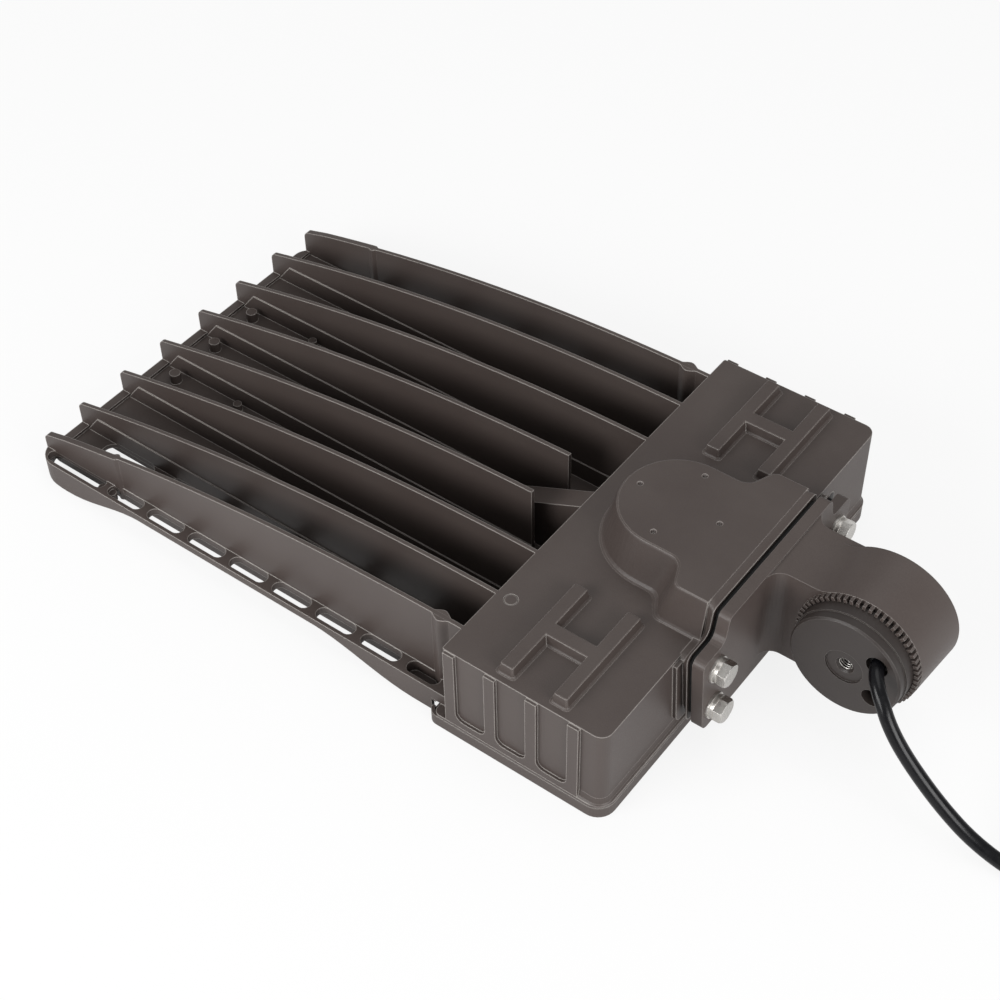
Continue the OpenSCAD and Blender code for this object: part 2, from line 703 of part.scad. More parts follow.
chip_h = 0.7;
module led_chips() color([0.95, 0.85, 0.3]) placed() {
    for (i = [0 : 3]) at_lenses(i) translate([-1.5, -1.5, board_z - chip_h]) cube([3, 3, chip_h]);
}

module lens_plate(i) color([0.85, 0.9, 0.95, 0.6]) placed() difference() {
    union() {
        translate([board_x(i) - board_l / 2, board_y(i) - board_w / 2, lens_z])
            cube([board_l, board_w, lens_t - 0.05]);
        at_lenses(i) translate([0, 0, lens_z + eps]) rotate_extrude($fn = 32) polygon(concat(
            [[0, eps]], [for (a = [0 : 15 : 90]) [dome_r * cos(a), -dome_h * sin(a)]]));
    }
    at_lenses(i) translate([0, 0, lens_z + 0.4]) cylinder(r = 3.4, h = lens_t, $fn = 32);
}

module lens_gasket() color(black) placed() translate([0, 0, lens_z]) linear_extrude(under_z - lens_z)
    difference() {
        plan_rect(recess_x + side_gap, recess_end - side_gap, recess_y - side_gap, 4);
        plan_rect(recess_x + bay_seal, recess_end - bay_seal, recess_y - bay_seal, 3);
    }

module lens_frame() color(bronze) placed() translate([0, 0, frame_z]) linear_extrude(frame_t)
    difference() {
        plan_rect(bay_wall + side_gap, bay_end - bay_wall - side_gap, bay_y - bay_wall - side_gap, 3);
        for (i = [0 : 3]) translate([board_x(i), board_y(i)])
            plan_rect(-board_l / 2 + 2.5, board_l / 2 - 2.5, board_w / 2 - 2, 6);
        for (p = frame_screw_places) translate([p[0], p[1]]) circle(r = 1.8, $fn = small_fn);
    }

module frame_screws() color(steel) placed() for (p = frame_screw_places) translate([p[0], p[1], 0]) {
    hole_z(0, 0, frame_z - 1.5, frame_z, 2.8);
    hole_z(0, 0, frame_z - eps, under_z + 1.6, 1.5);
}

// Driver box contents

driver_top = tray_z - 0.1;
ear_t = 1.6;
module driver() color([0.8, 0.8, 0.78]) placed() difference() {
    union() {
        translate([driver_x - driver_w / 2, -driver_l / 2, driver_top - driver_h])
            cube([driver_w, driver_l, driver_h]);
        mirrored() translate([driver_x - driver_w / 2 + 4, driver_l / 2 - 1, driver_top - ear_t])
            cube([driver_w - 8, 13, ear_t]);
    }
    for (sx = [-1, 1], sy = [-1, 1])
        hole_z(driver_x + sx * driver_screw_dx, sy * driver_screw_dy, driver_top - 5, driver_top + 1, 2.3);
}

module driver_tray() color([0.6, 0.6, 0.6]) placed() difference() {
    translate([driver_x - driver_w / 2 - 2, -driver_l / 2 - 12, tray_z])
        cube([driver_w + 4, driver_l + 24, 1.5]);
    for (sx = [-1, 1], sy = [-1, 1])
        hole_z(driver_x + sx * driver_screw_dx, sy * driver_screw_dy, tray_z - 1, tray_z + 3, 2.3);
    translate([driver_x - driver_w / 2 + 19, -driver_l / 2 + 20, tray_z - 1])
        cube([driver_w - 38, driver_l - 40, 4]);
}

module driver_screws() color(steel) placed() for (sx = [-1, 1], sy = [-1, 1])
    translate([driver_x + sx * driver_screw_dx, sy * driver_screw_dy, 0]) {
        hole_z(0, 0, driver_top - ear_t - 2.4, driver_top - ear_t, 3.6);
        hole_z(0, 0, driver_top - ear_t - eps, box_z - 2, 2);
    }

// Bays beside the driver's ends; what stands in them is as wide as they leave room for
bay_gap = 2.8;
wall_gap = 4;
block_w = box_w / 2 - wall - driver_l / 2 - 12 - bay_gap - wall_gap;
pole = block_w / 26;
spd_l = 42;
module surge_protector() color([0.2, 0.3, 0.5]) placed()
    translate([box_x + 20, -box_w / 2 + wall + wall_gap, box_z - wall - 24.3]) {
        cube([spd_l, block_w, 24]);
        translate([spd_l - 1, 8 * pole, 6]) cube([4, 10 * pole, 12]);
    }

term_x = driver_x - driver_w / 2 + 25;
term_y = box_w / 2 - wall - wall_gap - block_w / 2;
term_z = box_z - wall - 16.3;
module terminal_block() color([0.85, 0.85, 0.82]) placed() difference() {
    translate([term_x - 12, term_y - block_w / 2, term_z]) cube([24, block_w, 16]);
    for (i = [-1, 0, 1], s = [-1, 1])
        hole_x(term_x + (s < 0 ? -13 : 7), term_x + (s < 0 ? -7 : 13), term_y + i * 8 * pole, term_z + 8,
            1.7 * pole);
}

module terminal_levers() color([0.9, 0.5, 0.1]) placed() for (i = [-1, 0, 1])
    translate([term_x - 9, term_y + (i * 8 - 3) * pole, term_z - 2.5]) cube([18, 6 * pole, 2.4]);

// Leads between the driver's end and the terminal block
lead_r = 1.3;
module driver_leads() color([0.1, 0.1, 0.1]) placed() for (i = [-1, 0, 1]) {
    x = driver_x - driver_w / 2 + 5 - i * 3.4 * pole;
    y = term_y + i * 8 * pole;
    y0 = driver_l / 2;
    f = (term_y - 8 * pole - y0) / 19.8;
    z0 = driver_top - driver_h / 2;
    z1 = term_z + 8;
    tube([[x, y0, z0], [x, y0 + 4 * f, z0], [x, y0 + 8 * f, z0 + 1], [x, y - 11 * f, z0 + 5],
        [x, y - 6 * f, z1 - 4], [x + 1, y - 2 * f, z1 - 1], [x + 4, y, z1], [term_x - 8, y, z1]],
        lead_r * pole, 8, [0, 0, 1]);
}

// Leads from the driver down the duct to the light boards
function duct_axis(x) = duct_top - 5.5 - (box_x + 8 - x) * duct_slope;
module led_leads() color([0.6, 0.1, 0.1]) placed() for (s = [-1, 1]) {
    x0 = box_x + 8 - (duct_top - 5.5 - under_z) / duct_slope;
    z = board_z + 0.1;
    x1 = driver_x - driver_w / 2;
    tube([for (p = [[x1, 1.7, driver_top - 2], [x1 - 3, 1.7, driver_top - 1.9],
        [box_x + 9.5, 1.7, duct_axis(box_x + 9.5) - 0.6], [box_x + 6, 1.7, duct_axis(box_x + 6)],
        [box_x - 20, 1.7, duct_axis(box_x - 20)], [x0 + 40, 1.7, duct_axis(x0 + 40)],
        [x0 + 8, 1.7, under_z + 4], [x0 + 4, 1.7, under_z + 2.1], [x0 + 1, 1.7, under_z + 0.7],
        [x0 - 2, 1.7, under_z - 0.4], [x0 - 5.5, 1.7, z + 0.1], [x0 - 10, 1.7, z], [x0 - 16, 1.7, z],
        [x0 - 20, 1.9, z], [x0 - 22.8, 2.6, z], [x0 - 24.2, 4, z], [x0 - 24.2, 5.42, z]])
        [p[0], s * p[1], p[2]]], lead_r, 8, [0.1, 0.2, 1]);
}

module wireway_grommet() color(black) placed() difference() {
    union() {
        intersection() {
            translate([box_x + wall, -10, 0]) cube([2.5, 20, box_z]);
            on_duct_axis() cylinder(r = 6.4, h = 40, $fn = small_fn);
        }
        intersection() {
            translate([box_x - 6, -10, 0]) cube([wall + 7, 20, box_z]);
            on_duct_axis() cylinder(r = 3.95, h = 40, $fn = small_fn);
        }
    }
    on_duct_axis() translate([0, 0, -1]) cylinder(r = 3.3, h = 60, $fn = small_fn);
}

module on_duct_axis() {
    translate([box_x + 8, 0, duct_top - 5.5]) rotate([0, -90 - atan(duct_slope), 0])
        translate([0, 0, -10]) children();
}

// Supply lead from the knuckle through the neck to the terminal block
cord_d = 8;
arm_lead_z = knuckle_z - 3;
arm_lead_end = [term_x + 38, term_y - 8 * pole, term_z + 6];
arm_lead_x = (driver_x + driver_w / 2 + box_end - wall) / 2 - 0.5;
module arm_lead() color(black) placed()
    tube(concat([for (x = [barrel_x - 20, barrel_x - 34, plate_x + 3, box_end + 3])
            [x, neck_y + 2, arm_lead_z]],
        [for (p = [[8.5, 3, -0.5], [3.5, 6.5, -2], [1, 13, -4.5]])
            [arm_lead_x + p[0], neck_y + p[1], arm_lead_z + p[2]]],
        [for (p = [[0, -8], [0.25, -11.4], [0.5, -14.2], [0.75, -14.2], [1, -12.8]])
            [arm_lead_x, (neck_y + 24) * (1 - p[0]) + (driver_l / 2 - 3.5) * p[0], arm_lead_z + p[1]]],
        [[arm_lead_x - 3.5, driver_l / 2 + 8.5, arm_lead_z - 10.6],
        arm_lead_end + [3, -4, -0.6], arm_lead_end]), cord_d / 2 - 0.8, 8, [0.2, -0.3, 1]);

// The three wires of the supply lead, from its sheath to the terminal block
module arm_wires() color([0.1, 0.4, 0.2]) placed() for (i = [-1, 0, 1]) {
    y = term_y + i * 8 * pole;
    p = arm_lead_end;
    tube([[p[0] - 2.5, p[1] + (2.9 + i * 1.9) * pole, p[2] + 0.5 + (i == 0 ? 1 : -0.6)],
        [p[0] - 7, p[1] + (4.5 + i * 3.4) * pole, p[2] + 1.2], [term_x + 22, y - pole, term_z + 7.8],
        [term_x + 15, y, term_z + 8], [term_x + 8, y, term_z + 8]], 1.1 * pole, 8, [0, 0, 1]);
}

// Arm: plate, neck and toothed barrel in one casting

module arm() color(bronze) placed() difference() {
    union() {
        end_plate(plate_x, plate_end) plate_outline(0);
        translate([0, 0, neck_z]) linear_extrude(neck_h) polygon([[plate_end - 1, barrel_near],
            [barrel_x, barrel_near], [barrel_x + 3, barrel_far - 1], [barrel_x - 23, neck_far],
            [plate_end - 1, neck_far]]);
        neck_flare();
        barrel_blend();
        translate([barrel_x, barrel_near, knuckle_z]) rotate([-90, 0, 0])
            cylinder(r1 = barrel_r - barrel_taper, r2 = barrel_r, h = barrel_w - 0.6, $fn = round_fn);
        translate([barrel_x, barrel_far - 0.6, knuckle_z]) rotate([-90, 0, 0])
            cylinder(r1 = barrel_r, r2 = barrel_r - 0.6, h = 0.6, $fn = round_fn);
        teeth();
    }
    hole_y(barrel_x, tooth_tip - 1, cavity_y, knuckle_z, hub_r + hub_fit, round_fn);
    hole_y(barrel_x, tooth_tip - 1, barrel_near + 3, knuckle_z, hub_r + 1.1, round_fn);
    hole_y(barrel_x, cavity_y, barrel_far - 4, knuckle_z, hub_r + 2, round_fn);
    hole_x(plate_x - 1, barrel_x, neck_y, knuckle_z - 3, 10);
    mirrored() for (z = bolt_levels) hole_x(plate_x - 1, plate_end + 1, bolt_y, z, bolt_d / 2 + 0.5);
}

// The barrel narrows towards its teeth; the neck is wider than it by a web on the far side
barrel_taper = 2.2;
neck_far = barrel_far + 4;

// Hollow fillet between the top of the neck and the barrel
function blend_ring(y, r) = let (f = 16, top = neck_z + neck_h, up = top + f - knuckle_z,
        back = sqrt(pow(r + f, 2) - pow(up, 2))) [for (p = concat(
    [[barrel_x - 10, top - 1], [barrel_x - back, top - 1]],
    arc(barrel_x - back, top + f, f, 270, 360 - atan(up / back), 8),
    [[barrel_x - 10, knuckle_z + r * 0.8]])) [p[0], y, p[1]]];
module barrel_blend() {
    skin([blend_ring(barrel_near, barrel_r - barrel_taper), blend_ring(barrel_far - 0.6, barrel_r)],
        [for (k = [1 : 10]) [0, k, k + 1]]);
}

// Hollow fillet where the near side of the neck meets the plate
module neck_flare() {
    r = 9;
    translate([plate_end - 0.5, barrel_near + 0.5, neck_z]) linear_extrude(neck_h) polygon(concat(
        [[0, 0]], arc(r + 0.5, -r - 0.5, r, 90, 180, 8)));
    translate([plate_end - 0.5, neck_far - 0.5, neck_z]) linear_extrude(neck_h) polygon(concat(
        [[0, 0]], arc(r + 0.5, r + 0.5, r, 180, 270, 8)));
    side_plate(barrel_near, neck_far) polygon(concat(
        [[plate_end - 0.5, neck_z + 0.5]], arc(plate_end + 5, neck_z - 5, 5, 90, 180, 6)));
}

// Crown teeth on the barrel's end, round the hub
module teeth() {
    translate([barrel_x, 0, knuckle_z]) rotate([90, 0, 0])
        for (i = [0 : tooth_n - 1]) rotate([0, 0, 360 * i / tooth_n])
            translate([0, 0, -barrel_near - 1]) linear_extrude(tooth_h + 1) tooth_plan();
}

module tooth_plan() {
    half = 360 / tooth_n * 0.27;
    r0 = hub_r + 0.6;
    r1 = barrel_r - barrel_taper - 0.3;
    polygon([for (p = [[r0, half], [r1, half * 0.8], [r1, -half * 0.8], [r0, -half]])
        [p[0] * cos(p[1]), p[0] * sin(p[1])]]);
}

module arm_gasket() color(black) placed() difference() {
    end_plate(seat_end, plate_x) plate_outline(-3);
    hole_x(seat_end - 1, plate_x + 1, neck_y, knuckle_z - 3, 11);
    mirrored() for (z = bolt_levels) hole_x(seat_end - 1, plate_x + 1, bolt_y, z, bolt_d / 2 + 0.5);
}

flat_washer_t = 1.6;
spring_washer_t = 2.1;
head_t = bolt_d * 0.66;
module at_bolts(x) {
    for (s = [-1, 1], z = bolt_levels) translate([x, s * bolt_y, z]) rotate([0, 90, 0]) children();
}

module flat_washers() color(steel) placed() at_bolts(plate_end) difference() {
    cylinder(r = bolt_d, h = flat_washer_t, $fn = small_fn);
    translate([0, 0, -1]) cylinder(r = bolt_d / 2 + 0.2, h = 5, $fn = small_fn);
}

module spring_washers() color(steel) placed() at_bolts(plate_end + flat_washer_t) difference() {
    cylinder(r = bolt_d * 0.9, h = spring_washer_t, $fn = small_fn);
    translate([0, 0, -1]) cylinder(r = bolt_d / 2 + 0.2, h = 6, $fn = small_fn);
    rotate([0, 0, 40]) translate([bolt_d / 2 - 1, -0.5, -1]) cube([bolt_d, 1, 6]);
}

module arm_bolts() color(steel) placed() at_bolts(plate_end + flat_washer_t + spring_washer_t) {
    intersection() {
        linear_extrude(head_t) circle(d = hex_af / cos(30), $fn = 6);
        cylinder(r1 = hex_af / 2 + 4, r2 = hex_af / 2 + 0.2, h = head_t, $fn = small_fn);
    }
    shank = plate_end + flat_washer_t + spring_washer_t - (box_end - 7);
    translate([0, 0, -shank]) cylinder(d = bolt_d, h = shank + eps, $fn = small_fn);
}

// Door under the driver box, hinged along its front edge

module driver_door() color(bronze) placed() difference() {
    union() {
        linear_extrude(door_t) plan_rect(door_front, door_end, rim_y, foot_r, 6);
        difference() {
            linear_extrude(rim_z) difference() {
                plan_rect(door_front, door_end, rim_y, foot_r, 6);
                plan_rect(door_front + rim_t, door_end - rim_t, rim_y - rim_t, foot_r - rim_t, 5);
            }
            translate([door_front - 1, -rail_y - 1.2, door_t]) cube([20, 2 * rail_y + 2.4, 20]);
        }
        for (s = [-1, 1]) hole_y(hinge_x, s * hinge_y - hinge_pin_l / 2, s * hinge_y + hinge_pin_l / 2,
            hinge_z, hinge_barrel_r);
        mirrored() hole_z(door_screw_x, door_screw_y, 0, door_t + 1.2, 7);
    }
    for (s = [-1, 1]) {
        hole_y(hinge_x, s * hinge_y - 40, s * hinge_y + 40, hinge_z, hinge_pin_d / 2 + pin_fit);
        for (t = [-1, 1]) translate([door_front - 2, s * hinge_y + t * lug_y - lug_w / 2 - side_gap, -1])
            cube([hinge_x + hinge_barrel_r + side_gap + 2 - door_front, lug_w + 2 * side_gap, 9]);
    }
    mirrored() hole_z(door_screw_x, door_screw_y, -1, door_t + 5, door_screw_d / 2 + 0.3);
    mirrored() hole_z(door_screw_x, door_screw_y, -1, 1.4, door_screw_d + 0.2);
    for (i = [-3 : 3]) translate([box_x + 22, i * 30 - 1.5, -1]) cube([box_l - 46, 3, 1.8]);
}

module door_gasket() color([0.12, 0.12, 0.12]) placed() translate([0, 0, door_t])
    linear_extrude(sill_z - door_t) difference() {
        plan_rect(box_x + 0.3, box_end - 1, box_w / 2 - 1, 6);
        plan_rect(box_x + 3.3, box_end - 4.4, box_w / 2 - 4.4, 4);
        for (s = [-1, 1]) translate([door_screw_x, s * door_screw_y]) circle(r = 7.3, $fn = small_fn);
    }

module hinge_pins() color(steel) placed() for (s = [-1, 1])
    hole_y(hinge_x, s * hinge_y - hinge_pin_l / 2, s * hinge_y + hinge_pin_l / 2, hinge_z,
        hinge_pin_d / 2);

module door_screws() color(steel) placed() mirrored() difference() {
    union() {
        hole_z(door_screw_x, door_screw_y, 0.1, 1.4, door_screw_d);
        hole_z(door_screw_x, door_screw_y, 1.3, sill_z + 4, door_screw_d / 2);
    }
    translate([door_screw_x - 4, door_screw_y - 0.5, -1]) cube([8, 1, 1.8]);
}

module screw_clips() color(steel) placed() mirrored() difference() {
    hole_z(door_screw_x, door_screw_y, door_t + 1.25, door_t + 1.85, 4.6);
    hole_z(door_screw_x, door_screw_y, 0, 20, door_screw_d / 2 + 0.05);
}

// Knuckle hub, which turns in the barrel, and what goes with it

cable_x = cable_hole_off * cos(36);
cable_z = cable_hole_off * sin(36);
hub_back = cavity_y + 4;
ring_t = 1.5;

module hub() color(bronze) placed() translate([barrel_x, 0, knuckle_z]) {
    skin = 9;
    difference() {
        union() {
            hole_y(0, hub_face + 1, hub_back, 0, hub_r, round_fn);
            translate([0, hub_face, 0]) rotate([-90, 0, 0])
                cylinder(r1 = hub_r - 1, r2 = hub_r, h = 1, $fn = round_fn);
            hole_y(0, tooth_tip - hub_proud / 2, barrel_near - side_gap, 0, hub_r + 0.8, round_fn);
        }
        hole_y(0, hub_face + skin, hub_back + 1, 0, hub_r - 4, round_fn);
        hole_y(0, hub_face - 1, hub_face + 1.2, 0, 11);
        translate([0, hub_face + 1.2, 0]) rotate([-90, 0, 0])
            cylinder(r1 = tap_r + 1, r2 = tap_r, h = 1, $fn = small_fn);
        hub_groove(barrel_near + 0.2, barrel_near + 2.4, hub_r - 1.4);
        hub_groove(cavity_y + 0.3, cavity_y + 0.4 + ring_t, hub_r - 1.2);
        for (s = [-1, 1]) hole_y(cable_x, hub_face - 1, hub_face + skin + 1, s * cable_z,
            s > 0 ? cable_hole_r : cable_hole_r - 0.7);
        hole_y(0, hub_face, hub_face + skin + 5, 0, tap_r);
    }
    difference() {
        hole_y(0, hub_face + skin - 1, hub_face + skin + 7, 0, 9);
        hole_y(0, hub_face, hub_face + skin + 5, 0, tap_r);
    }
}

module hub_groove(y0, y1, r) {
    difference() {
        hole_y(0, y0, y1, 0, hub_r + 2, round_fn);
        hole_y(0, y0 - 1, y1 + 1, 0, r, round_fn);
    }
}

module hub_seal() color(black) placed() translate([barrel_x, barrel_near + 1.3, knuckle_z])
    rotate([90, 0, 0]) rotate_extrude($fn = round_fn) translate([hub_r - 0.4, 0])
        circle(r = 0.95, $fn = 16);

module hub_ring() color(steel) placed() translate([barrel_x, cavity_y + 0.35, knuckle_z])
    rotate([-90, 0, 0]) difference() {
        cylinder(r = hub_r + 1.5, h = ring_t, $fn = round_fn);
        translate([0, 0, -1]) cylinder(r = hub_r - 1.15, h = 5, $fn = round_fn);
        rotate([0, 0, 100]) translate([hub_r - 4, -3, -1]) cube([8, 6, 5]);
    }

// Supply cord: steps along X and Y from its exit, and height as a share of the exit's height
cord_r = cord_d / 2;
exit_x = barrel_x + cable_x;
exit_z = knuckle_z + cable_z;
cord_shape = [[0, 7, 1], [0, 3.2, 1], [0.5, -0.5, 0.998], [3.2, -5.8, 0.985], [7.5, -10.6, 0.955],
    [12.7, -14.5, 0.9], [18.1, -17.4, 0.82], [24.6, -19, 0.715], [32.3, -19.8, 0.6], [41.2, -20.2, 0.48],
    [50.8, -20.4, 0.362], [61, -20.4, 0.25], [71.5, -20.2, 0.152], [83, -19.8, 0.075], [95.5, -19.4, 0.025],
    [109, -19, 0.004], [123, -19, 0], [137, -19, 0], [148, -19, 0]];
cord_points = [for (p = cord_shape)
    [exit_x + p[0], hub_face + p[1], cord_r + (exit_z - cord_r) * p[2]]];
cord_end = cord_points[len(cord_points) - 1];

// Coil: a flat spiral that winds inwards from the cord's end and rises a little over its tie
coil_r = 60;
coil_turns = 3;
coil_pitch = cord_d + 0.6;
coil_rings = 24;
coil_mid = [cord_end[0], cord_end[1] + coil_r];
tie_angle = 60;
tie_rise = 0.95;
function rise(a) = tie_rise * pow(max(0, cos(a - tie_angle)), 10);
function coil_point(i) = let (a = -90 + 360 * i / coil_rings, r = coil_r - coil_pitch * i / coil_rings)
    [coil_mid[0] + r * cos(a), coil_mid[1] + r * sin(a), cord_r + rise(a)];
coil_path = [for (i = [0 : coil_turns * coil_rings]) coil_point(i)];

module cord_bush() color(black) placed() difference() {
    hole_y(exit_x, hub_face + 4, hub_face + 7, exit_z, cable_hole_r - 0.05);
    hole_y(exit_x, hub_face, hub_face + 9, exit_z, cord_r + 0.1);
}

module supply_cord() color(black) placed() tube(cord_points, cord_r, 12, [1, 1, 1]);

// The coil starts where the cord ends and finishes inside, next to its own turns
module cord_coil() color(black) placed()
    tube(concat([cord_end + [eps, 0, 0], cord_end + [3, 0, 0]],
        [for (i = [1 : len(coil_path) - 1]) coil_path[i]]), cord_r, 6, [0, 0, 1]);
coil_gaps = [for (i = [0 : coil_rings : len(coil_path) - coil_rings - 1])
    norm(coil_path[i + coil_rings] - coil_path[i]) - cord_d];
echo(least_gap_between_turns = min(coil_gaps));

module cord_tie() color([0.03, 0.03, 0.03]) placed()
    translate([coil_mid[0], coil_mid[1], cord_r + tie_rise]) rotate([0, 0, tie_angle]) {
        r_in = coil_r - coil_pitch * (coil_turns - 1 + (90 + tie_angle) / 360) - cord_r - 0.6;
        r_out = coil_r - coil_pitch * (90 + tie_angle) / 360 + cord_r + 0.6;
        side_plate(-4, 4) difference() {
            translate([r_in - 1, -cord_r - 0.9]) square([r_out - r_in + 2, cord_d + 1.9]);
            translate([r_in, -cord_r - 0.1]) square([r_out - r_in, cord_d + 0.2]);
        }
    }

// Stripped leads at the cord's far end, side by side inside the coil
coil_last = len(coil_path) - 1;
coil_end = coil_path[coil_last];
end_way = unit(coil_end - coil_path[coil_last - 1]);
end_side = cross([0, 0, 1], end_way);
end_r = norm([coil_end[0] - coil_mid[0], coil_end[1] - coil_mid[1]]);
lead_wire_r = 1.2;
function lead_path(k) = let (dz = abs(k) < 0.5 ? 1.4 : -0.8) concat(
    [for (d = [0.05, 2.5]) coil_end + d * end_way - k * 2.7 * end_side + [0, 0, dz]],
    [for (i = [1 : 8]) let (a = -88 + 9 * i, r = end_r - 0.4 * i + k * (2.7 + 0.45 * i))
        [coil_mid[0] + r * cos(a), coil_mid[1] + r * sin(a), cord_r + dz * (1 - 0.08 * i) - 0.25 * i]]);
module lead(k) {
    tube(lead_path(k), lead_wire_r, 8, [0, 0, 1]);
}
module lead_live() color(black) placed() lead(-0.55);
module lead_neutral() color([0.9, 0.9, 0.9]) placed() lead(0.55);
module lead_earth() color([0.1, 0.5, 0.2]) placed() lead(0);
module lead_tips() color([0.8, 0.5, 0.3]) placed() for (k = [-0.55, 0, 0.55]) {
    p = lead_path(k);
    n = len(p);
    t = unit(p[n - 1] - p[n - 2]);
    tube([for (i = [0 : 2]) p[n - 1] + t * (0.02 + 4 * i)], 0.8, 8, [0, 0, 1]);
}

housing();
led_board(0);  // led_board_1
led_board(1);  // led_board_2
led_board(2);  // led_board_3
led_board(3);  // led_board_4
led_chips();
lens_plate(0);  // lens_plate_1
lens_plate(1);  // lens_plate_2
lens_plate(2);  // lens_plate_3
lens_plate(3);  // lens_plate_4
lens_gasket();
lens_frame();
frame_screws();
driver();
driver_tray();
driver_screws();
surge_protector();
terminal_block();
terminal_levers();
driver_leads();
led_leads();
wireway_grommet();
arm_lead();
arm_wires();
arm();
arm_gasket();
arm_bolts();
spring_washers();
flat_washers();
driver_door();
door_gasket();
hinge_pins();
door_screws();
screw_clips();
hub();
hub_seal();
hub_ring();
cord_bush();
supply_cord();
cord_coil();
cord_tie();
lead_live();
lead_neutral();
lead_earth();
lead_tips();
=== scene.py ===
import math

import bmesh
import bpy
from mathutils import Matrix, Vector


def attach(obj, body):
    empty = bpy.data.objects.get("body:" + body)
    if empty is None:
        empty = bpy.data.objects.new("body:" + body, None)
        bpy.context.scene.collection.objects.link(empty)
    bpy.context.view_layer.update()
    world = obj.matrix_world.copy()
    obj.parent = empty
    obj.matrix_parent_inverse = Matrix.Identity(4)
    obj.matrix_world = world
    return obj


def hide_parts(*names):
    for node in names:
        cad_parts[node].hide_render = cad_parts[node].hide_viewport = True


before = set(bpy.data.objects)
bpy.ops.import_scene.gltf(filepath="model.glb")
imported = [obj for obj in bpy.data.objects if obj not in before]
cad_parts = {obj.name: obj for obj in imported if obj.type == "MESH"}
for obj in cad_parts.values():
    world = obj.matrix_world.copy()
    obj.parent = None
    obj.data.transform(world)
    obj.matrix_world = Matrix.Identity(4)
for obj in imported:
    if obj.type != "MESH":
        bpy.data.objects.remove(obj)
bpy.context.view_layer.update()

MM = 0.001
# Half of the light's length, from the fins' front to the barrel's back
HALF_LENGTH = 267.6
# Middle of the knuckle and face of its hub, in mm from the front of the fins
KNUCKLE_X, KNUCKLE_Z, HUB_FACE_Y = 496.8, 64.2, -24.0


def at(x, y, z):
    """A point measured in mm from the front of the fins, in the row frame in metres."""
    return Vector(((x - HALF_LENGTH) * MM, y * MM, z * MM))


# Camera: its place in metres, its direction as one turn, and its lens. The turn takes the row frame
# to the picture's axes, with x to the right, y down and z ahead.
CAMERA_PLACE = Vector((0.46939, -0.62496, 0.84320))
CAMERA_TURN = Vector((2.281040, 0.749758, -0.319232))
SENSOR_WIDTH, LENS = 36.0, 69.393
NEAREST, FARTHEST = 0.05, 20.0

camera_data = bpy.data.cameras.new("camera")
camera_data.sensor_fit = "HORIZONTAL"
camera_data.sensor_width = SENSOR_WIDTH
camera_data.lens = LENS
camera_data.clip_start = NEAREST
camera_data.clip_end = FARTHEST
camera = bpy.data.objects.new("camera", camera_data)
bpy.context.scene.collection.objects.link(camera)
to_view = Matrix.Rotation(CAMERA_TURN.length, 3, CAMERA_TURN.normalized())
camera.matrix_world = Matrix.Translation(CAMERA_PLACE) @ Matrix(
    [[to_view[0][i], -to_view[1][i], -to_view[2][i]] for i in range(3)]
).to_4x4()
bpy.context.scene.camera = camera

# Shader groups

FLOAT, VECTOR = "NodeSocketFloat", "NodeSocketVector"
# A mix of colours has its two colours and its result at these sockets
MIX_A, MIX_B, MIX_RESULT = 6, 7, 2


class Sheet:
    """Lays out the nodes of one material or group."""

    def __init__(self, tree):
        self.tree = tree

    def add(self, kind, inputs=None, **settings):
        """A new node with its settings, and with values or links for its inputs."""
        node = self.tree.nodes.new(kind)
        for key, value in settings.items():
            setattr(node, key, value)
        for key, value in (inputs or {}).items():
            self.set(node.inputs[key], value)
        return node

    def set(self, socket, value):
        """Gives a socket a value, or links another socket or a node's first output to it."""
        if isinstance(value, bpy.types.NodeSocket):
            self.tree.links.new(value, socket)
        elif isinstance(value, bpy.types.Node):
            self.tree.links.new(value.outputs[0], socket)
        else:
            socket.default_value = value

    def math(self, operation, a, b, clamp=False):
        node = self.add("ShaderNodeMath", operation=operation, use_clamp=clamp)
        self.set(node.inputs[0], a)
        self.set(node.inputs[1], b)
        return node.outputs[0]

    def blend(self, factor, a, b):
        """Colour a where the factor is 0, and colour b where it is 1."""
        node = self.add("ShaderNodeMix", data_type="RGBA", blend_type="MIX")
        self.set(node.inputs["Factor"], factor)
        self.set(node.inputs[MIX_A], a)
        self.set(node.inputs[MIX_B], b)
        return node.outputs[MIX_RESULT]

    def ramp(self, value, low, high, out_low=0.0, out_high=1.0):
        """Takes low to out_low and high to out_high, and holds those beyond them."""
        node = self.add("ShaderNodeMapRange", {"From Min": low, "From Max": high,
                                               "To Min": out_low, "To Max": out_high})
        self.set(node.inputs["Value"], value)
        return node.outputs["Result"]


def shader_group(name, inputs, outputs, build):
    """An effect that several materials use, with named inputs and outputs."""
    tree = bpy.data.node_groups.new(name, "ShaderNodeTree")
    for label, kind, value in inputs:
        socket = tree.interface.new_socket(label, in_out="INPUT", socket_type=kind)
        socket.default_value = value
    for label, kind in outputs:
        tree.interface.new_socket(label, in_out="OUTPUT", socket_type=kind)
    sheet = Sheet(tree)
    given = sheet.add("NodeGroupInput")
    taken = sheet.add("NodeGroupOutput")
    for label, value in build(sheet, given.outputs).items():
        sheet.set(taken.inputs[label], value)
    return tree


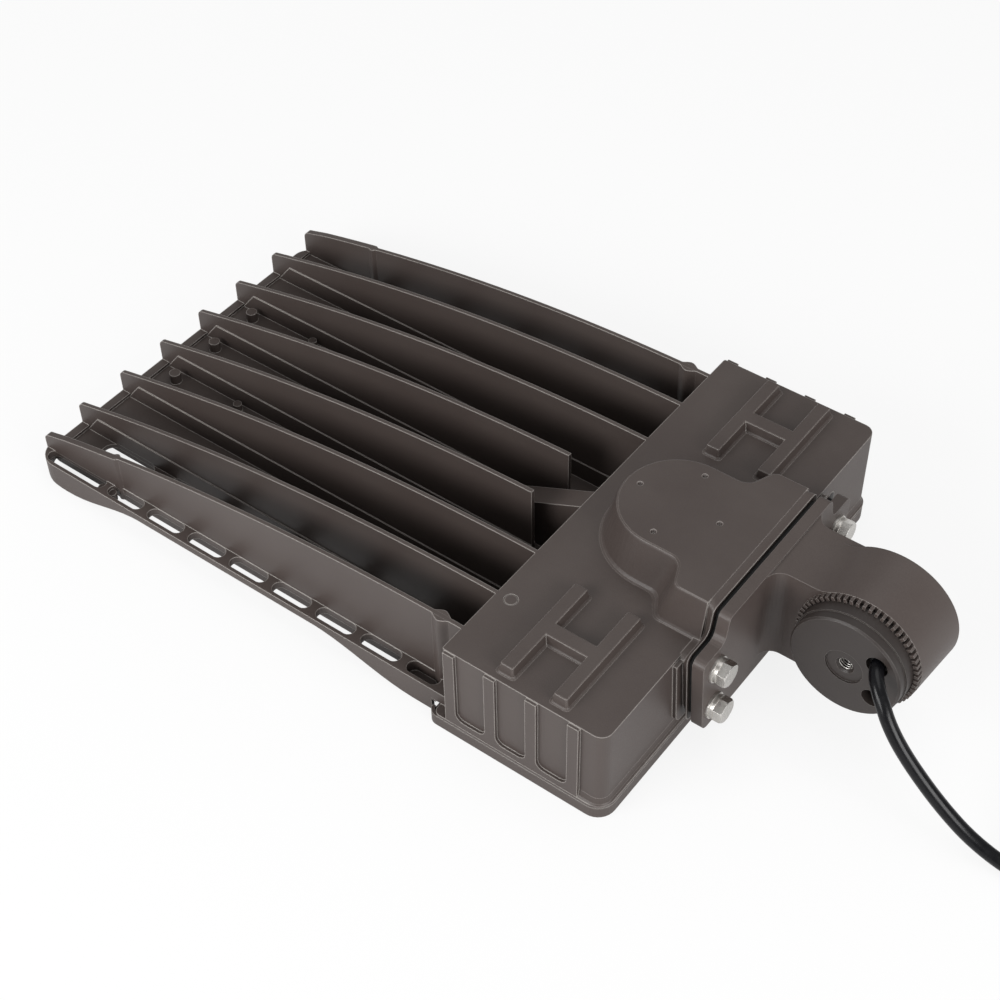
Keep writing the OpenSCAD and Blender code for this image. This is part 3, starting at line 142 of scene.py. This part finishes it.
def build_rounded_edges(s, given):
    """Softens edges and marks where a rounded edge turns away from the flat face."""
    bevel = s.add("ShaderNodeBevel", {"Radius": given["Radius"]}, samples=6)
    flat = s.add("ShaderNodeNewGeometry")
    dot = s.add("ShaderNodeVectorMath", operation="DOT_PRODUCT")
    s.set(dot.inputs[0], bevel.outputs[0])
    s.set(dot.inputs[1], flat.outputs["Normal"])
    edge = s.ramp(s.math("SUBTRACT", 1.0, dot.outputs["Value"]), 0.01, 0.13)
    return {"Normal": bevel.outputs[0], "Edge": edge}


rounded_edges = shader_group(
    "rounded_edges", [("Radius", FLOAT, 0.0006)], [("Normal", VECTOR), ("Edge", FLOAT)],
    build_rounded_edges)


def build_coat_grain(s, given):
    """Fine grain, small pimples and broad clouds of a baked powder coat."""
    place = s.add("ShaderNodeTexCoord").outputs["Object"]
    grain = s.add("ShaderNodeTexNoise", {"Vector": place, "Scale": given["Grain Scale"], "Detail": 3.0,
                                         "Roughness": 0.6})
    pimple = s.add("ShaderNodeTexVoronoi", {"Vector": place, "Scale": given["Pimple Scale"]},
                   feature="SMOOTH_F1")
    broad = s.add("ShaderNodeTexNoise", {"Vector": place, "Scale": given["Cloud Scale"], "Detail": 2.0})
    height = s.math("ADD", s.math("MULTIPLY", grain.outputs["Fac"], 0.6),
                    s.math("MULTIPLY", pimple.outputs["Distance"], -0.5))
    return {"Height": height, "Cloud": s.ramp(broad.outputs["Fac"], 0.3, 0.7),
            "Speckle": s.ramp(grain.outputs["Fac"], 0.35, 0.68)}


coat_grain = shader_group(
    "coat_grain",
    [("Grain Scale", FLOAT, 1500.0), ("Pimple Scale", FLOAT, 900.0), ("Cloud Scale", FLOAT, 14.0)],
    [("Height", FLOAT), ("Cloud", FLOAT), ("Speckle", FLOAT)], build_coat_grain)


def build_settled_dust(s, given):
    """Dust that lies in patches and flecks on faces that look up."""
    place = s.add("ShaderNodeTexCoord").outputs["Object"]
    up = s.add("ShaderNodeSeparateXYZ", {"Vector": s.add("ShaderNodeNewGeometry").outputs["Normal"]})
    patch = s.add("ShaderNodeTexNoise", {"Vector": place, "Scale": given["Patch Scale"], "Detail": 6.0,
                                         "Roughness": 0.7})
    fleck = s.add("ShaderNodeTexNoise", {"Vector": place, "Scale": 2600.0, "Detail": 1.0})
    lies = s.ramp(up.outputs["Z"], 0.55, 0.98)
    mask = s.math("MULTIPLY", lies, s.ramp(patch.outputs["Fac"], 0.4, 0.75))
    flecks = s.math("MULTIPLY", mask, s.ramp(fleck.outputs["Fac"], 0.45, 0.7, 0.35, 1.0))
    return {"Dust": s.math("MULTIPLY", flecks, given["Amount"], clamp=True)}


settled_dust = shader_group(
    "settled_dust", [("Amount", FLOAT, 0.2), ("Patch Scale", FLOAT, 30.0)], [("Dust", FLOAT)],
    build_settled_dust)


def build_drawn_lines(s, given):
    """Lines left along drawn, rolled or turned metal."""
    place = s.add("ShaderNodeTexCoord").outputs["Object"]
    stretched = s.add("ShaderNodeVectorMath", operation="MULTIPLY")
    s.set(stretched.inputs[0], place)
    s.set(stretched.inputs[1], given["Stretch"])
    lines = s.add("ShaderNodeTexNoise", {"Vector": stretched.outputs[0], "Scale": given["Line Scale"],
                                         "Detail": 3.0, "Roughness": 0.65})
    return {"Height": lines.outputs["Fac"], "Streak": s.ramp(lines.outputs["Fac"], 0.35, 0.65)}


drawn_lines = shader_group(
    "drawn_lines", [("Line Scale", FLOAT, 900.0), ("Stretch", VECTOR, (1.0, 1.0, 0.1))],
    [("Height", FLOAT), ("Streak", FLOAT)], build_drawn_lines)


def build_moulded_skin(s, given):
    """Skin of a moulded piece, with scuffs."""
    place = s.add("ShaderNodeTexCoord").outputs["Object"]
    skin = s.add("ShaderNodeTexNoise", {"Vector": place, "Scale": given["Skin Scale"], "Detail": 4.0})
    scuff = s.add("ShaderNodeTexNoise", {"Vector": place, "Scale": given["Scuff Scale"], "Detail": 5.0,
                                         "Roughness": 0.75})
    return {"Height": skin.outputs["Fac"], "Scuff": s.ramp(scuff.outputs["Fac"], 0.42, 0.72)}


moulded_skin = shader_group(
    "moulded_skin", [("Skin Scale", FLOAT, 1800.0), ("Scuff Scale", FLOAT, 60.0)],
    [("Height", FLOAT), ("Scuff", FLOAT)], build_moulded_skin)


def use(s, group, **values):
    """Places a shader group in a material with its own values."""
    node = s.add("ShaderNodeGroup", node_tree=group)
    for label, value in values.items():
        s.set(node.inputs[label.replace("_", " ")], value)
    return node.outputs


def new_material(name, **constants):
    """A material and its shader; constants go straight on the shader's sockets."""
    material = bpy.data.materials.new(name)
    material.use_nodes = True
    material.node_tree.nodes.clear()
    s = Sheet(material.node_tree)
    shader = s.add("ShaderNodeBsdfPrincipled")
    for label, value in constants.items():
        shader.inputs[label.replace("_", " ")].default_value = value
    out = s.add("ShaderNodeOutputMaterial")
    s.tree.links.new(shader.outputs[0], out.inputs["Surface"])
    return material, s, shader.inputs


def bump(s, height, distance, strength, normal=None):
    """Relief over the plain face, or over the normal of its rounded edges."""
    node = s.add("ShaderNodeBump", {"Height": height, "Distance": distance, "Strength": strength})
    if normal is not None:
        s.set(node.inputs["Normal"], normal)
    return node.outputs[0]


# Materials


def bronze_coat(name, radius=0.0009, dust=0.10, tone=1.0, edge_highlight=0.85):
    """Dark bronze powder coat over a casting, with fine grain, and its soft edges painted lighter as a
    highlight.
    """

    # tone makes all of the coat's colours lighter or darker together
    def shade(red, green, blue):
        return red * tone, green * tone, blue * tone, 1

    material, s, shader = new_material(name, Specular_IOR_Level=0.45)
    edges = use(s, rounded_edges, Radius=radius)
    grain = use(s, coat_grain, Grain_Scale=1700.0, Pimple_Scale=1000.0, Cloud_Scale=13.0)
    lying = use(s, settled_dust, Amount=dust, Patch_Scale=24.0)
    bronze_dark, bronze_light = shade(0.050, 0.037, 0.033), shade(0.062, 0.048, 0.043)
    speck, rubbed_and_highlight, dust_grey = shade(0.095, 0.078, 0.070), (0.40, 0.37, 0.345, 1), (0.22, 0.20, 0.18, 1)
    base = s.blend(grain["Cloud"], bronze_dark, bronze_light)
    base = s.blend(s.math("MULTIPLY", grain["Speckle"], 0.3), base, speck)
    # Rounded edges are mixed toward a pale grey: a painted highlight along the coat's edges
    base = s.blend(s.math("MULTIPLY", edges["Edge"], edge_highlight), base, rubbed_and_highlight)
    base = s.blend(lying["Dust"], base, dust_grey)
    s.set(shader["Base Color"], base)
    rough = s.ramp(grain["Speckle"], 0.0, 1.0, 0.40, 0.52)
    s.set(shader["Roughness"], s.math("ADD", rough, s.math("MULTIPLY", lying["Dust"], 0.4)))
    s.set(shader["Normal"], bump(s, grain["Height"], 0.00012, 0.5, edges["Normal"]))
    return material


def stainless(name, stretch, rough=0.24):
    """Turned or drawn stainless steel, with its lines along the axis that stretch keeps small."""
    material, s, shader = new_material(name, Metallic=1.0)
    edges = use(s, rounded_edges, Radius=0.00025)
    lines = use(s, drawn_lines, Line_Scale=900.0, Stretch=stretch)
    skin = use(s, moulded_skin, Skin_Scale=900.0, Scuff_Scale=150.0)
    dull, bright, scuffed = (0.60, 0.58, 0.55, 1), (0.68, 0.66, 0.63, 1), (0.46, 0.44, 0.41, 1)
    base = s.blend(lines["Streak"], dull, bright)
    base = s.blend(s.math("MULTIPLY", skin["Scuff"], 0.3), base, scuffed)
    s.set(shader["Base Color"], base)
    s.set(shader["Roughness"], s.ramp(skin["Scuff"], 0.0, 1.0, rough, rough + 0.16))
    s.set(shader["Normal"], bump(s, lines["Height"], 0.00002, 0.2, edges["Normal"]))
    return material


def plain_metal(name, dark, light, rough, stretch, scale=700.0):
    """Drawn or rolled metal, such as an aluminium case or zinc-plated sheet."""
    material, s, shader = new_material(name, Metallic=1.0)
    edges = use(s, rounded_edges, Radius=0.0005)
    lines = use(s, drawn_lines, Line_Scale=scale, Stretch=stretch)
    skin = use(s, moulded_skin, Skin_Scale=400.0, Scuff_Scale=45.0)
    base = s.blend(lines["Streak"], dark, light)
    s.set(shader["Base Color"], s.blend(s.math("MULTIPLY", skin["Scuff"], 0.3), base, dark))
    s.set(shader["Roughness"], s.ramp(skin["Scuff"], 0.0, 1.0, rough, rough + 0.15))
    s.set(shader["Normal"], bump(s, lines["Height"], 0.00005, 0.5, edges["Normal"]))
    return material


def moulded(name, color, worn, rough, skin_scale=1800.0):
    """Moulded rubber or plastic with a fine skin and faint scuffs."""
    material, s, shader = new_material(name)
    edges = use(s, rounded_edges, Radius=0.0004)
    skin = use(s, moulded_skin, Skin_Scale=skin_scale, Scuff_Scale=70.0)
    base = s.blend(s.math("MULTIPLY", skin["Scuff"], 0.5), color, worn)
    base = s.blend(s.math("MULTIPLY", edges["Edge"], 0.3), base, worn)
    s.set(shader["Base Color"], base)
    s.set(shader["Roughness"], s.ramp(skin["Scuff"], 0.0, 1.0, rough, min(1.0, rough + 0.14)))
    s.set(shader["Normal"], bump(s, skin["Height"], 0.00006, 0.5, edges["Normal"]))
    return material


def circuit_board(name):
    """White solder mask over copper tracks that show as a faint relief between the lamps."""
    material, s, shader = new_material(name)
    place = s.add("ShaderNodeTexCoord").outputs["Object"]
    tracks = s.add("ShaderNodeTexBrick", {
        "Vector": place, "Scale": 1.0, "Mortar Size": 0.0006, "Mortar Smooth": 0.2,
        "Brick Width": 0.0259, "Row Height": 0.011, "Color1": (1, 1, 1, 1), "Color2": (0.9, 0.9, 0.9, 1),
        "Mortar": (0, 0, 0, 1)}, offset=0.5)
    skin = use(s, moulded_skin, Skin_Scale=1500.0, Scuff_Scale=80.0)
    mask_white, track_grey, scuffed = (0.80, 0.80, 0.77, 1), (0.66, 0.67, 0.62, 1), (0.70, 0.69, 0.64, 1)
    base = s.blend(tracks.outputs["Fac"], mask_white, track_grey)
    base = s.blend(s.math("MULTIPLY", skin["Scuff"], 0.15), base, scuffed)
    s.set(shader["Base Color"], base)
    s.set(shader["Roughness"], s.ramp(skin["Scuff"], 0.0, 1.0, 0.35, 0.5))
    relief = s.math("ADD", s.math("MULTIPLY", tracks.outputs["Fac"], -0.6),
                    s.math("MULTIPLY", skin["Height"], 0.2))
    s.set(shader["Normal"], bump(s, relief, 0.00008, 0.6))
    return material


def lamp_face(name):
    """Yellow phosphor square under clear resin, with a white rim."""
    material, s, shader = new_material(name, Coat_Weight=0.6, Coat_Roughness=0.08)
    edges = use(s, rounded_edges, Radius=0.0005)
    skin = use(s, moulded_skin, Skin_Scale=6000.0, Scuff_Scale=900.0)
    deep_yellow, pale_yellow, rim_white = (0.86, 0.62, 0.08, 1), (0.93, 0.74, 0.18, 1), (0.85, 0.84, 0.78, 1)
    base = s.blend(skin["Scuff"], deep_yellow, pale_yellow)
    s.set(shader["Base Color"], s.blend(edges["Edge"], base, rim_white))
    s.set(shader["Roughness"], s.ramp(skin["Scuff"], 0.0, 1.0, 0.3, 0.45))
    s.set(shader["Normal"], bump(s, skin["Height"], 0.00002, 0.5))
    return material


def clear_lens(name):
    """Clear moulded optics, faintly hazed where they were handled."""
    material, s, shader = new_material(name, Transmission_Weight=1.0, IOR=1.49)
    skin = use(s, moulded_skin, Skin_Scale=500.0, Scuff_Scale=120.0)
    clear, hazed = (0.97, 0.98, 0.99, 1), (0.93, 0.95, 0.96, 1)
    s.set(shader["Base Color"], s.blend(skin["Scuff"], clear, hazed))
    s.set(shader["Roughness"], s.ramp(skin["Scuff"], 0.0, 1.0, 0.02, 0.08))
    s.set(shader["Normal"], bump(s, skin["Height"], 0.00002, 0.3))
    return material


def cord_skin(name):
    """Smooth extruded sheath, black, with a soft sheen and faint rubs."""
    material, s, shader = new_material(
        name, Specular_IOR_Level=0.24, Coat_Weight=0.06, Coat_Roughness=0.12)
    skin = use(s, moulded_skin, Skin_Scale=700.0, Scuff_Scale=110.0)
    # On the sheath the lighter colour is only its faint rubs
    black, rubbed_and_highlight = (0.002, 0.002, 0.003, 1), (0.006, 0.006, 0.007, 1)
    s.set(shader["Base Color"], s.blend(skin["Scuff"], black, rubbed_and_highlight))
    s.set(shader["Roughness"], s.ramp(skin["Scuff"], 0.0, 1.0, 0.24, 0.36))
    s.set(shader["Normal"], bump(s, skin["Height"], 0.00008, 0.4))
    return material


coat = bronze_coat("bronze_coat")
coat_door = bronze_coat("bronze_coat_door", radius=0.0010, edge_highlight=0.6)
coat_frame = bronze_coat("bronze_coat_frame", radius=0.0004, dust=0.0)
# The arm's copy is painted lighter (tone above 1) and the hub's copy darker (tone below 1): painted light
# and painted shade on copies of one coat
coat_arm = bronze_coat("bronze_coat_arm", radius=0.00045, dust=0.06, tone=1.1, edge_highlight=0.45)
coat_hub = bronze_coat("bronze_coat_hub", radius=0.0004, dust=0.05, tone=0.45, edge_highlight=0.3)
bolt_steel = stainless("bolt_steel", (0.12, 1.0, 1.0))
screw_steel = stainless("screw_steel", (1.0, 1.0, 0.12))
pin_steel = stainless("pin_steel", (1.0, 0.12, 1.0), 0.2)
spring_steel = stainless("spring_steel", (0.12, 1.0, 1.0), 0.34)
case_metal = plain_metal(
    "case_metal", (0.46, 0.46, 0.45, 1), (0.60, 0.60, 0.59, 1), 0.38, (1.0, 0.04, 1.0))
tray_metal = plain_metal(
    "tray_metal", (0.42, 0.43, 0.42, 1), (0.64, 0.64, 0.60, 1), 0.34, (0.06, 1.0, 1.0), 300.0)
gasket_rubber = moulded("gasket_rubber", (0.004, 0.004, 0.004, 1), (0.014, 0.014, 0.013, 1), 0.7, 1300.0)
seal_rubber = moulded("seal_rubber", (0.014, 0.013, 0.013, 1), (0.03, 0.03, 0.03, 1), 0.45, 2400.0)
surge_plastic = moulded("surge_plastic", (0.016, 0.026, 0.065, 1), (0.05, 0.06, 0.09, 1), 0.5)
terminal_plastic = moulded("terminal_plastic", (0.44, 0.44, 0.42, 1), (0.55, 0.55, 0.52, 1), 0.45)
lever_plastic = moulded("lever_plastic", (0.72, 0.18, 0.02, 1), (0.8, 0.3, 0.08, 1), 0.28)
wire_black = moulded("wire_black", (0.012, 0.012, 0.012, 1), (0.03, 0.03, 0.03, 1), 0.38)
wire_white = moulded("wire_white", (0.72, 0.72, 0.69, 1), (0.6, 0.59, 0.55, 1), 0.38)
wire_green = moulded("wire_green", (0.012, 0.12, 0.035, 1), (0.04, 0.2, 0.08, 1), 0.38)
wire_red = moulded("wire_red", (0.32, 0.015, 0.012, 1), (0.42, 0.05, 0.04, 1), 0.38)
tie_plastic = moulded("tie_plastic", (0.012, 0.012, 0.012, 1), (0.04, 0.04, 0.04, 1), 0.42)
strand_copper = plain_metal(
    "strand_copper", (0.55, 0.48, 0.42, 1), (0.78, 0.72, 0.66, 1), 0.3, (1.0, 1.0, 1.0), 2500.0)
board_white = circuit_board("board_white")
lamp_yellow = lamp_face("lamp_yellow")
lens_clear = clear_lens("lens_clear")
sheath = cord_skin("cord_sheath")

node_materials = {
    "housing": coat, "arm": coat_arm, "driver_door": coat_door, "hub": coat_hub, "lens_frame": coat_frame,
    "arm_bolts": bolt_steel, "flat_washers": spring_steel, "spring_washers": spring_steel,
    "frame_screws": screw_steel, "driver_screws": screw_steel, "door_screws": screw_steel,
    "hinge_pins": pin_steel, "screw_clips": spring_steel, "hub_ring": spring_steel,
    "driver": case_metal, "driver_tray": tray_metal,
    "arm_gasket": gasket_rubber, "door_gasket": gasket_rubber, "lens_gasket": gasket_rubber,
    "wireway_grommet": seal_rubber, "hub_seal": seal_rubber, "cord_bush": seal_rubber,
    "surge_protector": surge_plastic, "terminal_block": terminal_plastic, "terminal_levers": lever_plastic,
    "driver_leads": wire_black, "led_leads": wire_red, "arm_lead": sheath, "arm_wires": wire_green,
    "led_chips": lamp_yellow, "cord_tie": tie_plastic,
}
WINDOWS = 4
for number in range(1, WINDOWS + 1):
    node_materials[f"led_board_{number}"] = board_white
    node_materials[f"lens_plate_{number}"] = lens_clear

for node_name, material in node_materials.items():
    cad_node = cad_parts[node_name]
    for cad_slot in cad_node.material_slots:
        cad_slot.material = material

# Supply cord

CORD_R = 4.0
# The cable hole lies this far from the knuckle's middle, at this angle
HOLE_OFF, HOLE_ANGLE = 21.6, math.radians(36)
EXIT = (KNUCKLE_X + HOLE_OFF * math.cos(HOLE_ANGLE), HUB_FACE_Y,
        KNUCKLE_Z + HOLE_OFF * math.sin(HOLE_ANGLE))
# The cord's way from its hole: mm along x and y, and its height as a share of the hole's
CORD_SHAPE = [
    (0, 7, 1), (0, 3.2, 1), (0.5, -0.5, 0.998), (3.2, -5.8, 0.985), (7.5, -10.6, 0.955), (12.7, -14.5, 0.9),
    (18.1, -17.4, 0.82), (24.6, -19, 0.715), (32.3, -19.8, 0.6), (41.2, -20.2, 0.48), (50.8, -20.4, 0.362),
    (61, -20.4, 0.25), (71.5, -20.2, 0.152), (83, -19.8, 0.075), (95.5, -19.4, 0.025),
    (109, -19, 0.004), (123, -19, 0), (137, -19, 0), (148, -19, 0)]
# The coil's largest radius, its turns, how far apart they lie, and the steps in one turn
COIL_R, COIL_TURNS, COIL_PITCH, COIL_STEPS = 60.0, 3, 8.6, 48
# Where the tie is around the coil, and how high and how steeply the coil rises over it
TIE_ANGLE, TIE_RISE, TIE_SHARPNESS = 60.0, 0.95, 10
# Pieces between each two points of the cord's way, and of a wire's
WAY_STEPS, WIRE_STEPS = 4, 3


def through(points, steps):
    """A smooth line through points, with steps pieces between each two."""
    line = []
    for i in range(len(points) - 1):
        p0, p1 = points[max(i - 1, 0)], points[i]
        p2, p3 = points[i + 1], points[min(i + 2, len(points) - 1)]
        for k in range(steps):
            t = k / steps
            line.append(0.5 * (2 * p1 + (p2 - p0) * t + (2 * p0 - 5 * p1 + 4 * p2 - p3) * t * t
                               + (3 * p1 - p0 - 3 * p2 + p3) * t ** 3))
    return line + [points[-1]]


route = [Vector((EXIT[0] + x, EXIT[1] + y, CORD_R + (EXIT[2] - CORD_R) * h)) for x, y, h in CORD_SHAPE]
coil_mid = route[-1] + Vector((0, COIL_R, 0))


def coil_point(turned):
    """A point of the coil after so many degrees; the coil rises a little over its tie."""
    a = math.radians(-90 + turned)
    r = COIL_R - COIL_PITCH * turned / 360
    lift = TIE_RISE * max(0.0, math.cos(a - math.radians(TIE_ANGLE))) ** TIE_SHARPNESS
    return Vector((coil_mid.x + r * math.cos(a), coil_mid.y + r * math.sin(a), CORD_R + lift))


coil = [coil_point(360 / COIL_STEPS * i) for i in range(1, COIL_TURNS * COIL_STEPS + 1)]
cord_line = through(route, WAY_STEPS) + coil


def tube_curve(name, points, radius, material, roundness=6):
    """A round cord or wire along points, given in mm from the front of the fins."""
    data = bpy.data.curves.new(name, "CURVE")
    data.dimensions = "3D"
    data.bevel_depth = radius * MM
    data.bevel_resolution = roundness
    data.use_fill_caps = True
    spline = data.splines.new("POLY")
    spline.points.add(len(points) - 1)
    for spot, p in zip(spline.points, points):
        spot.co = (*at(*p), 1.0)
    spline.use_smooth = True
    data.materials.append(material)
    piece = bpy.data.objects.new(name, data)
    bpy.context.scene.collection.objects.link(piece)
    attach(piece, "knuckle_hub")
    return piece


supply_cord = tube_curve("cord_sheath", cord_line, CORD_R, sheath)
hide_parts("supply_cord", "cord_coil")

# Stripped wires at the cord's end, in mm and degrees
WIRE_R, WIRE_GAP, WIRE_SPREAD = 1.2, 2.7, 0.45
WIRE_START, WIRE_TURN, WIRE_BENDS = -88, 9, 8
WIRE_HIGH, WIRE_LOW, WIRE_SIDE = 1.4, -0.8, 0.55
WIRE_CURL, WIRE_FLATTEN, WIRE_SINK = 0.4, 0.08, 0.25
# A wire's first points, from inside the sheath to where it starts to spread
WIRE_OUT = (-1.0, 0.05, 2.5)
# The cord's direction at its end is taken over this many degrees of the coil
LOOK_BACK = 15
end_way = (coil[-1] - coil_point(360 * COIL_TURNS - LOOK_BACK)).normalized()
end_side = Vector((0, 0, 1)).cross(end_way)
end_r = COIL_R - COIL_PITCH * COIL_TURNS


def wire_line(k):
    """A wire's way out of the sheath; k is its place across the cord, with 0 on top."""
    dz = WIRE_HIGH if k == 0 else WIRE_LOW
    line = [coil[-1] + end_way * d - end_side * k * WIRE_GAP + Vector((0, 0, dz))
            for d in WIRE_OUT]
    for i in range(1, WIRE_BENDS + 1):
        a = math.radians(WIRE_START + WIRE_TURN * i)
        r = end_r - WIRE_CURL * i + k * (WIRE_GAP + WIRE_SPREAD * i)
        line.append(Vector((coil_mid.x + r * math.cos(a), coil_mid.y + r * math.sin(a),
                            CORD_R + dz * (1 - WIRE_FLATTEN * i) - WIRE_SINK * i)))
    return line


# Strands start a little inside their wire; all but the middle one lie off its axis
STRAND_R, STRANDS, STRAND_POINTS = 0.27, 7, 13
STRAND_OFF, STRAND_STEP, STRAND_TWIST, STRAND_INSIDE = 0.5, 0.66, 22, 0.3


def bare_strands(name, line):
    """Fine strands, six twisted around one, that go on from the end of a wire."""
    way = (line[-1] - line[-2]).normalized()
    side = way.cross(Vector((0, 0, 1))).normalized()
    up = side.cross(way)
    data = bpy.data.curves.new(name, "CURVE")
    data.dimensions = "3D"
    data.bevel_depth = STRAND_R * MM
    data.bevel_resolution = 2
    data.use_fill_caps = True
    for strand in range(STRANDS):
        spline = data.splines.new("POLY")
        spline.points.add(STRAND_POINTS - 1)
        for i, spot in enumerate(spline.points):
            a = math.radians(360 / (STRANDS - 1) * strand + STRAND_TWIST * i)
            r = 0.0 if strand == STRANDS - 1 else STRAND_OFF
            along = way * (STRAND_STEP * i - STRAND_INSIDE)
            p = line[-1] + along + side * (r * math.cos(a)) + up * (r * math.sin(a))
            spot.co = (*at(*p), 1.0)
    data.materials.append(strand_copper)
    piece = bpy.data.objects.new(name, data)
    bpy.context.scene.collection.objects.link(piece)
    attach(piece, "knuckle_hub")
    return piece


on_cord = [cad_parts["cord_tie"]]
for name, node_name, k, material, finish in (
        ("wire_live", "lead_live", -WIRE_SIDE, wire_black, "wire_black"),
        ("wire_neutral", "lead_neutral", WIRE_SIDE, wire_white, "wire_white"),
        ("wire_earth", "lead_earth", 0.0, wire_green, "wire_green")):
    line = through(wire_line(k), WIRE_STEPS)
    wire = tube_curve(name, line, WIRE_R, material, roundness=4)
    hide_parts(node_name)
    strands = bare_strands(name.replace("wire", "strands"), line)
    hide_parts("lead_tips")
    on_cord += [wire, strands]

# Small metalwork


def mesh_piece(name, build, material, body):
    """A smooth piece whose faces the given function builds."""
    mesh = bpy.data.meshes.new(name)
    shape = bmesh.new()
    build(shape)
    bmesh.ops.recalc_face_normals(shape, faces=shape.faces)
    shape.to_mesh(mesh)
    shape.free()
    for face in mesh.polygons:
        face.use_smooth = True
    mesh.materials.append(material)
    piece = bpy.data.objects.new(name, mesh)
    bpy.context.scene.collection.objects.link(piece)
    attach(piece, body)
    return piece


def thread_ridge(shape):
    """The thread's ridge inside the hub's tapped hole: one helix that fades out at both ends."""
    pitch, sides, inner, outer = 1.5, 40, 3.55, 4.22
    start, turns, fade_steps = -21.9, 7.2, 20
    # Half of the ridge's width at its foot and at its crest
    foot, crest = 0.55, 0.12
    rings = []
    for i in range(int(sides * turns) + 1):
        a = 2 * math.pi * i / sides
        y = start + pitch * i / sides
        fade = min(1.0, i / fade_steps, (sides * turns - i) / fade_steps)
        top = outer - (outer - inner) * fade
        ring = []
        for r, dy in ((outer, -foot), (top, -crest), (top, crest), (outer, foot)):
            ring.append(shape.verts.new(
                at(KNUCKLE_X + r * math.cos(a), y + dy, KNUCKLE_Z + r * math.sin(a))))
        rings.append(ring)
    for one, other in zip(rings, rings[1:]):
        for k in range(len(one)):
            j = (k + 1) % len(one)
            shape.faces.new((one[k], one[j], other[j], other[k]))
    shape.faces.new(rings[0])
    shape.faces.new(rings[-1][::-1])


thread_metal = plain_metal(
    "thread_metal", (0.40, 0.38, 0.36, 1), (0.66, 0.64, 0.61, 1), 0.25, (1.0, 1.0, 1.0))
mesh_piece("hub_thread_ridge", thread_ridge, thread_metal, "knuckle_hub")

# Table, lights and surroundings, in metres and watts

TABLE_REACH, TABLE_DROP = 8, 0.0002
TABLE_GLOW, MIRRORED_GLOW, AMBIENT = 0.84, 0.35, 0.42

floor_mesh = bpy.data.meshes.new("table")
corners = [(x * TABLE_REACH, y * TABLE_REACH, 0) for x, y in ((-1, -1), (1, -1), (1, 1), (-1, 1))]
floor_mesh.from_pydata(corners, [], [(0, 1, 2, 3)])
table = bpy.data.objects.new("table", floor_mesh)
table.location.z = -TABLE_DROP
bpy.context.scene.collection.objects.link(table)

# The camera sees the table mostly as plain white, with the object's soft shadow left in it
table_white = bpy.data.materials.new("table_white")
table_white.use_nodes = True
table_white.node_tree.nodes.clear()
s = Sheet(table_white.node_tree)
matt = s.add("ShaderNodeBsdfDiffuse", {"Color": (0.84, 0.84, 0.84, 1)})
glow = s.add("ShaderNodeEmission", {"Color": (1, 1, 1, 1), "Strength": 1.0})
rays = s.add("ShaderNodeLightPath")
seen = s.math("MAXIMUM", rays.outputs["Is Camera Ray"],
              s.math("MAXIMUM", s.math("MULTIPLY", rays.outputs["Is Glossy Ray"], MIRRORED_GLOW),
                     rays.outputs["Is Transmission Ray"]))
mixed = s.add("ShaderNodeMixShader", {0: s.math("MULTIPLY", seen, TABLE_GLOW),
                                      1: matt.outputs[0], 2: glow.outputs[0]})
s.tree.links.new(mixed.outputs[0], s.add("ShaderNodeOutputMaterial").inputs["Surface"])
floor_mesh.materials.append(table_white)

# The camera sees plain white behind the table, and the object is lit by a weaker white
world = bpy.data.worlds.new("studio")
bpy.context.scene.world = world
world.use_nodes = True
world.node_tree.nodes.clear()
s = Sheet(world.node_tree)
soft = s.add("ShaderNodeBackground", {"Color": (1, 1, 1, 1), "Strength": AMBIENT})
white = s.add("ShaderNodeBackground", {"Color": (1, 1, 1, 1), "Strength": 1.0})
mixed = s.add("ShaderNodeMixShader", {0: s.add("ShaderNodeLightPath").outputs["Is Camera Ray"],
                                      1: soft.outputs[0], 2: white.outputs[0]})
s.tree.links.new(mixed.outputs[0], s.add("ShaderNodeOutputWorld").inputs["Surface"])


def soft_box(name, place, aim, size, power):
    """A broad studio lamp that looks at a point."""
    data = bpy.data.lights.new(name, "AREA")
    data.shape = "RECTANGLE"
    data.size, data.size_y = size
    data.energy = power
    lamp = bpy.data.objects.new(name, data)
    lamp.location = place
    lamp.rotation_euler = (Vector(aim) - Vector(place)).to_track_quat("-Z", "Y").to_euler()
    bpy.context.scene.collection.objects.link(lamp)


soft_box("side_light", (-0.6, -1.75, 0.95), (0.0, 0.0, 0.03), (1.5, 0.9), 32)
soft_box("end_light", (1.9, -0.5, 0.7), (0.1, 0.0, 0.03), (1.2, 0.9), 24)
soft_box("top_light", (0.1, 0.3, 2.0), (0.0, 0.0, 0.0), (1.6, 1.2), 8)

bpy.context.scene.view_settings.view_transform = "Standard"
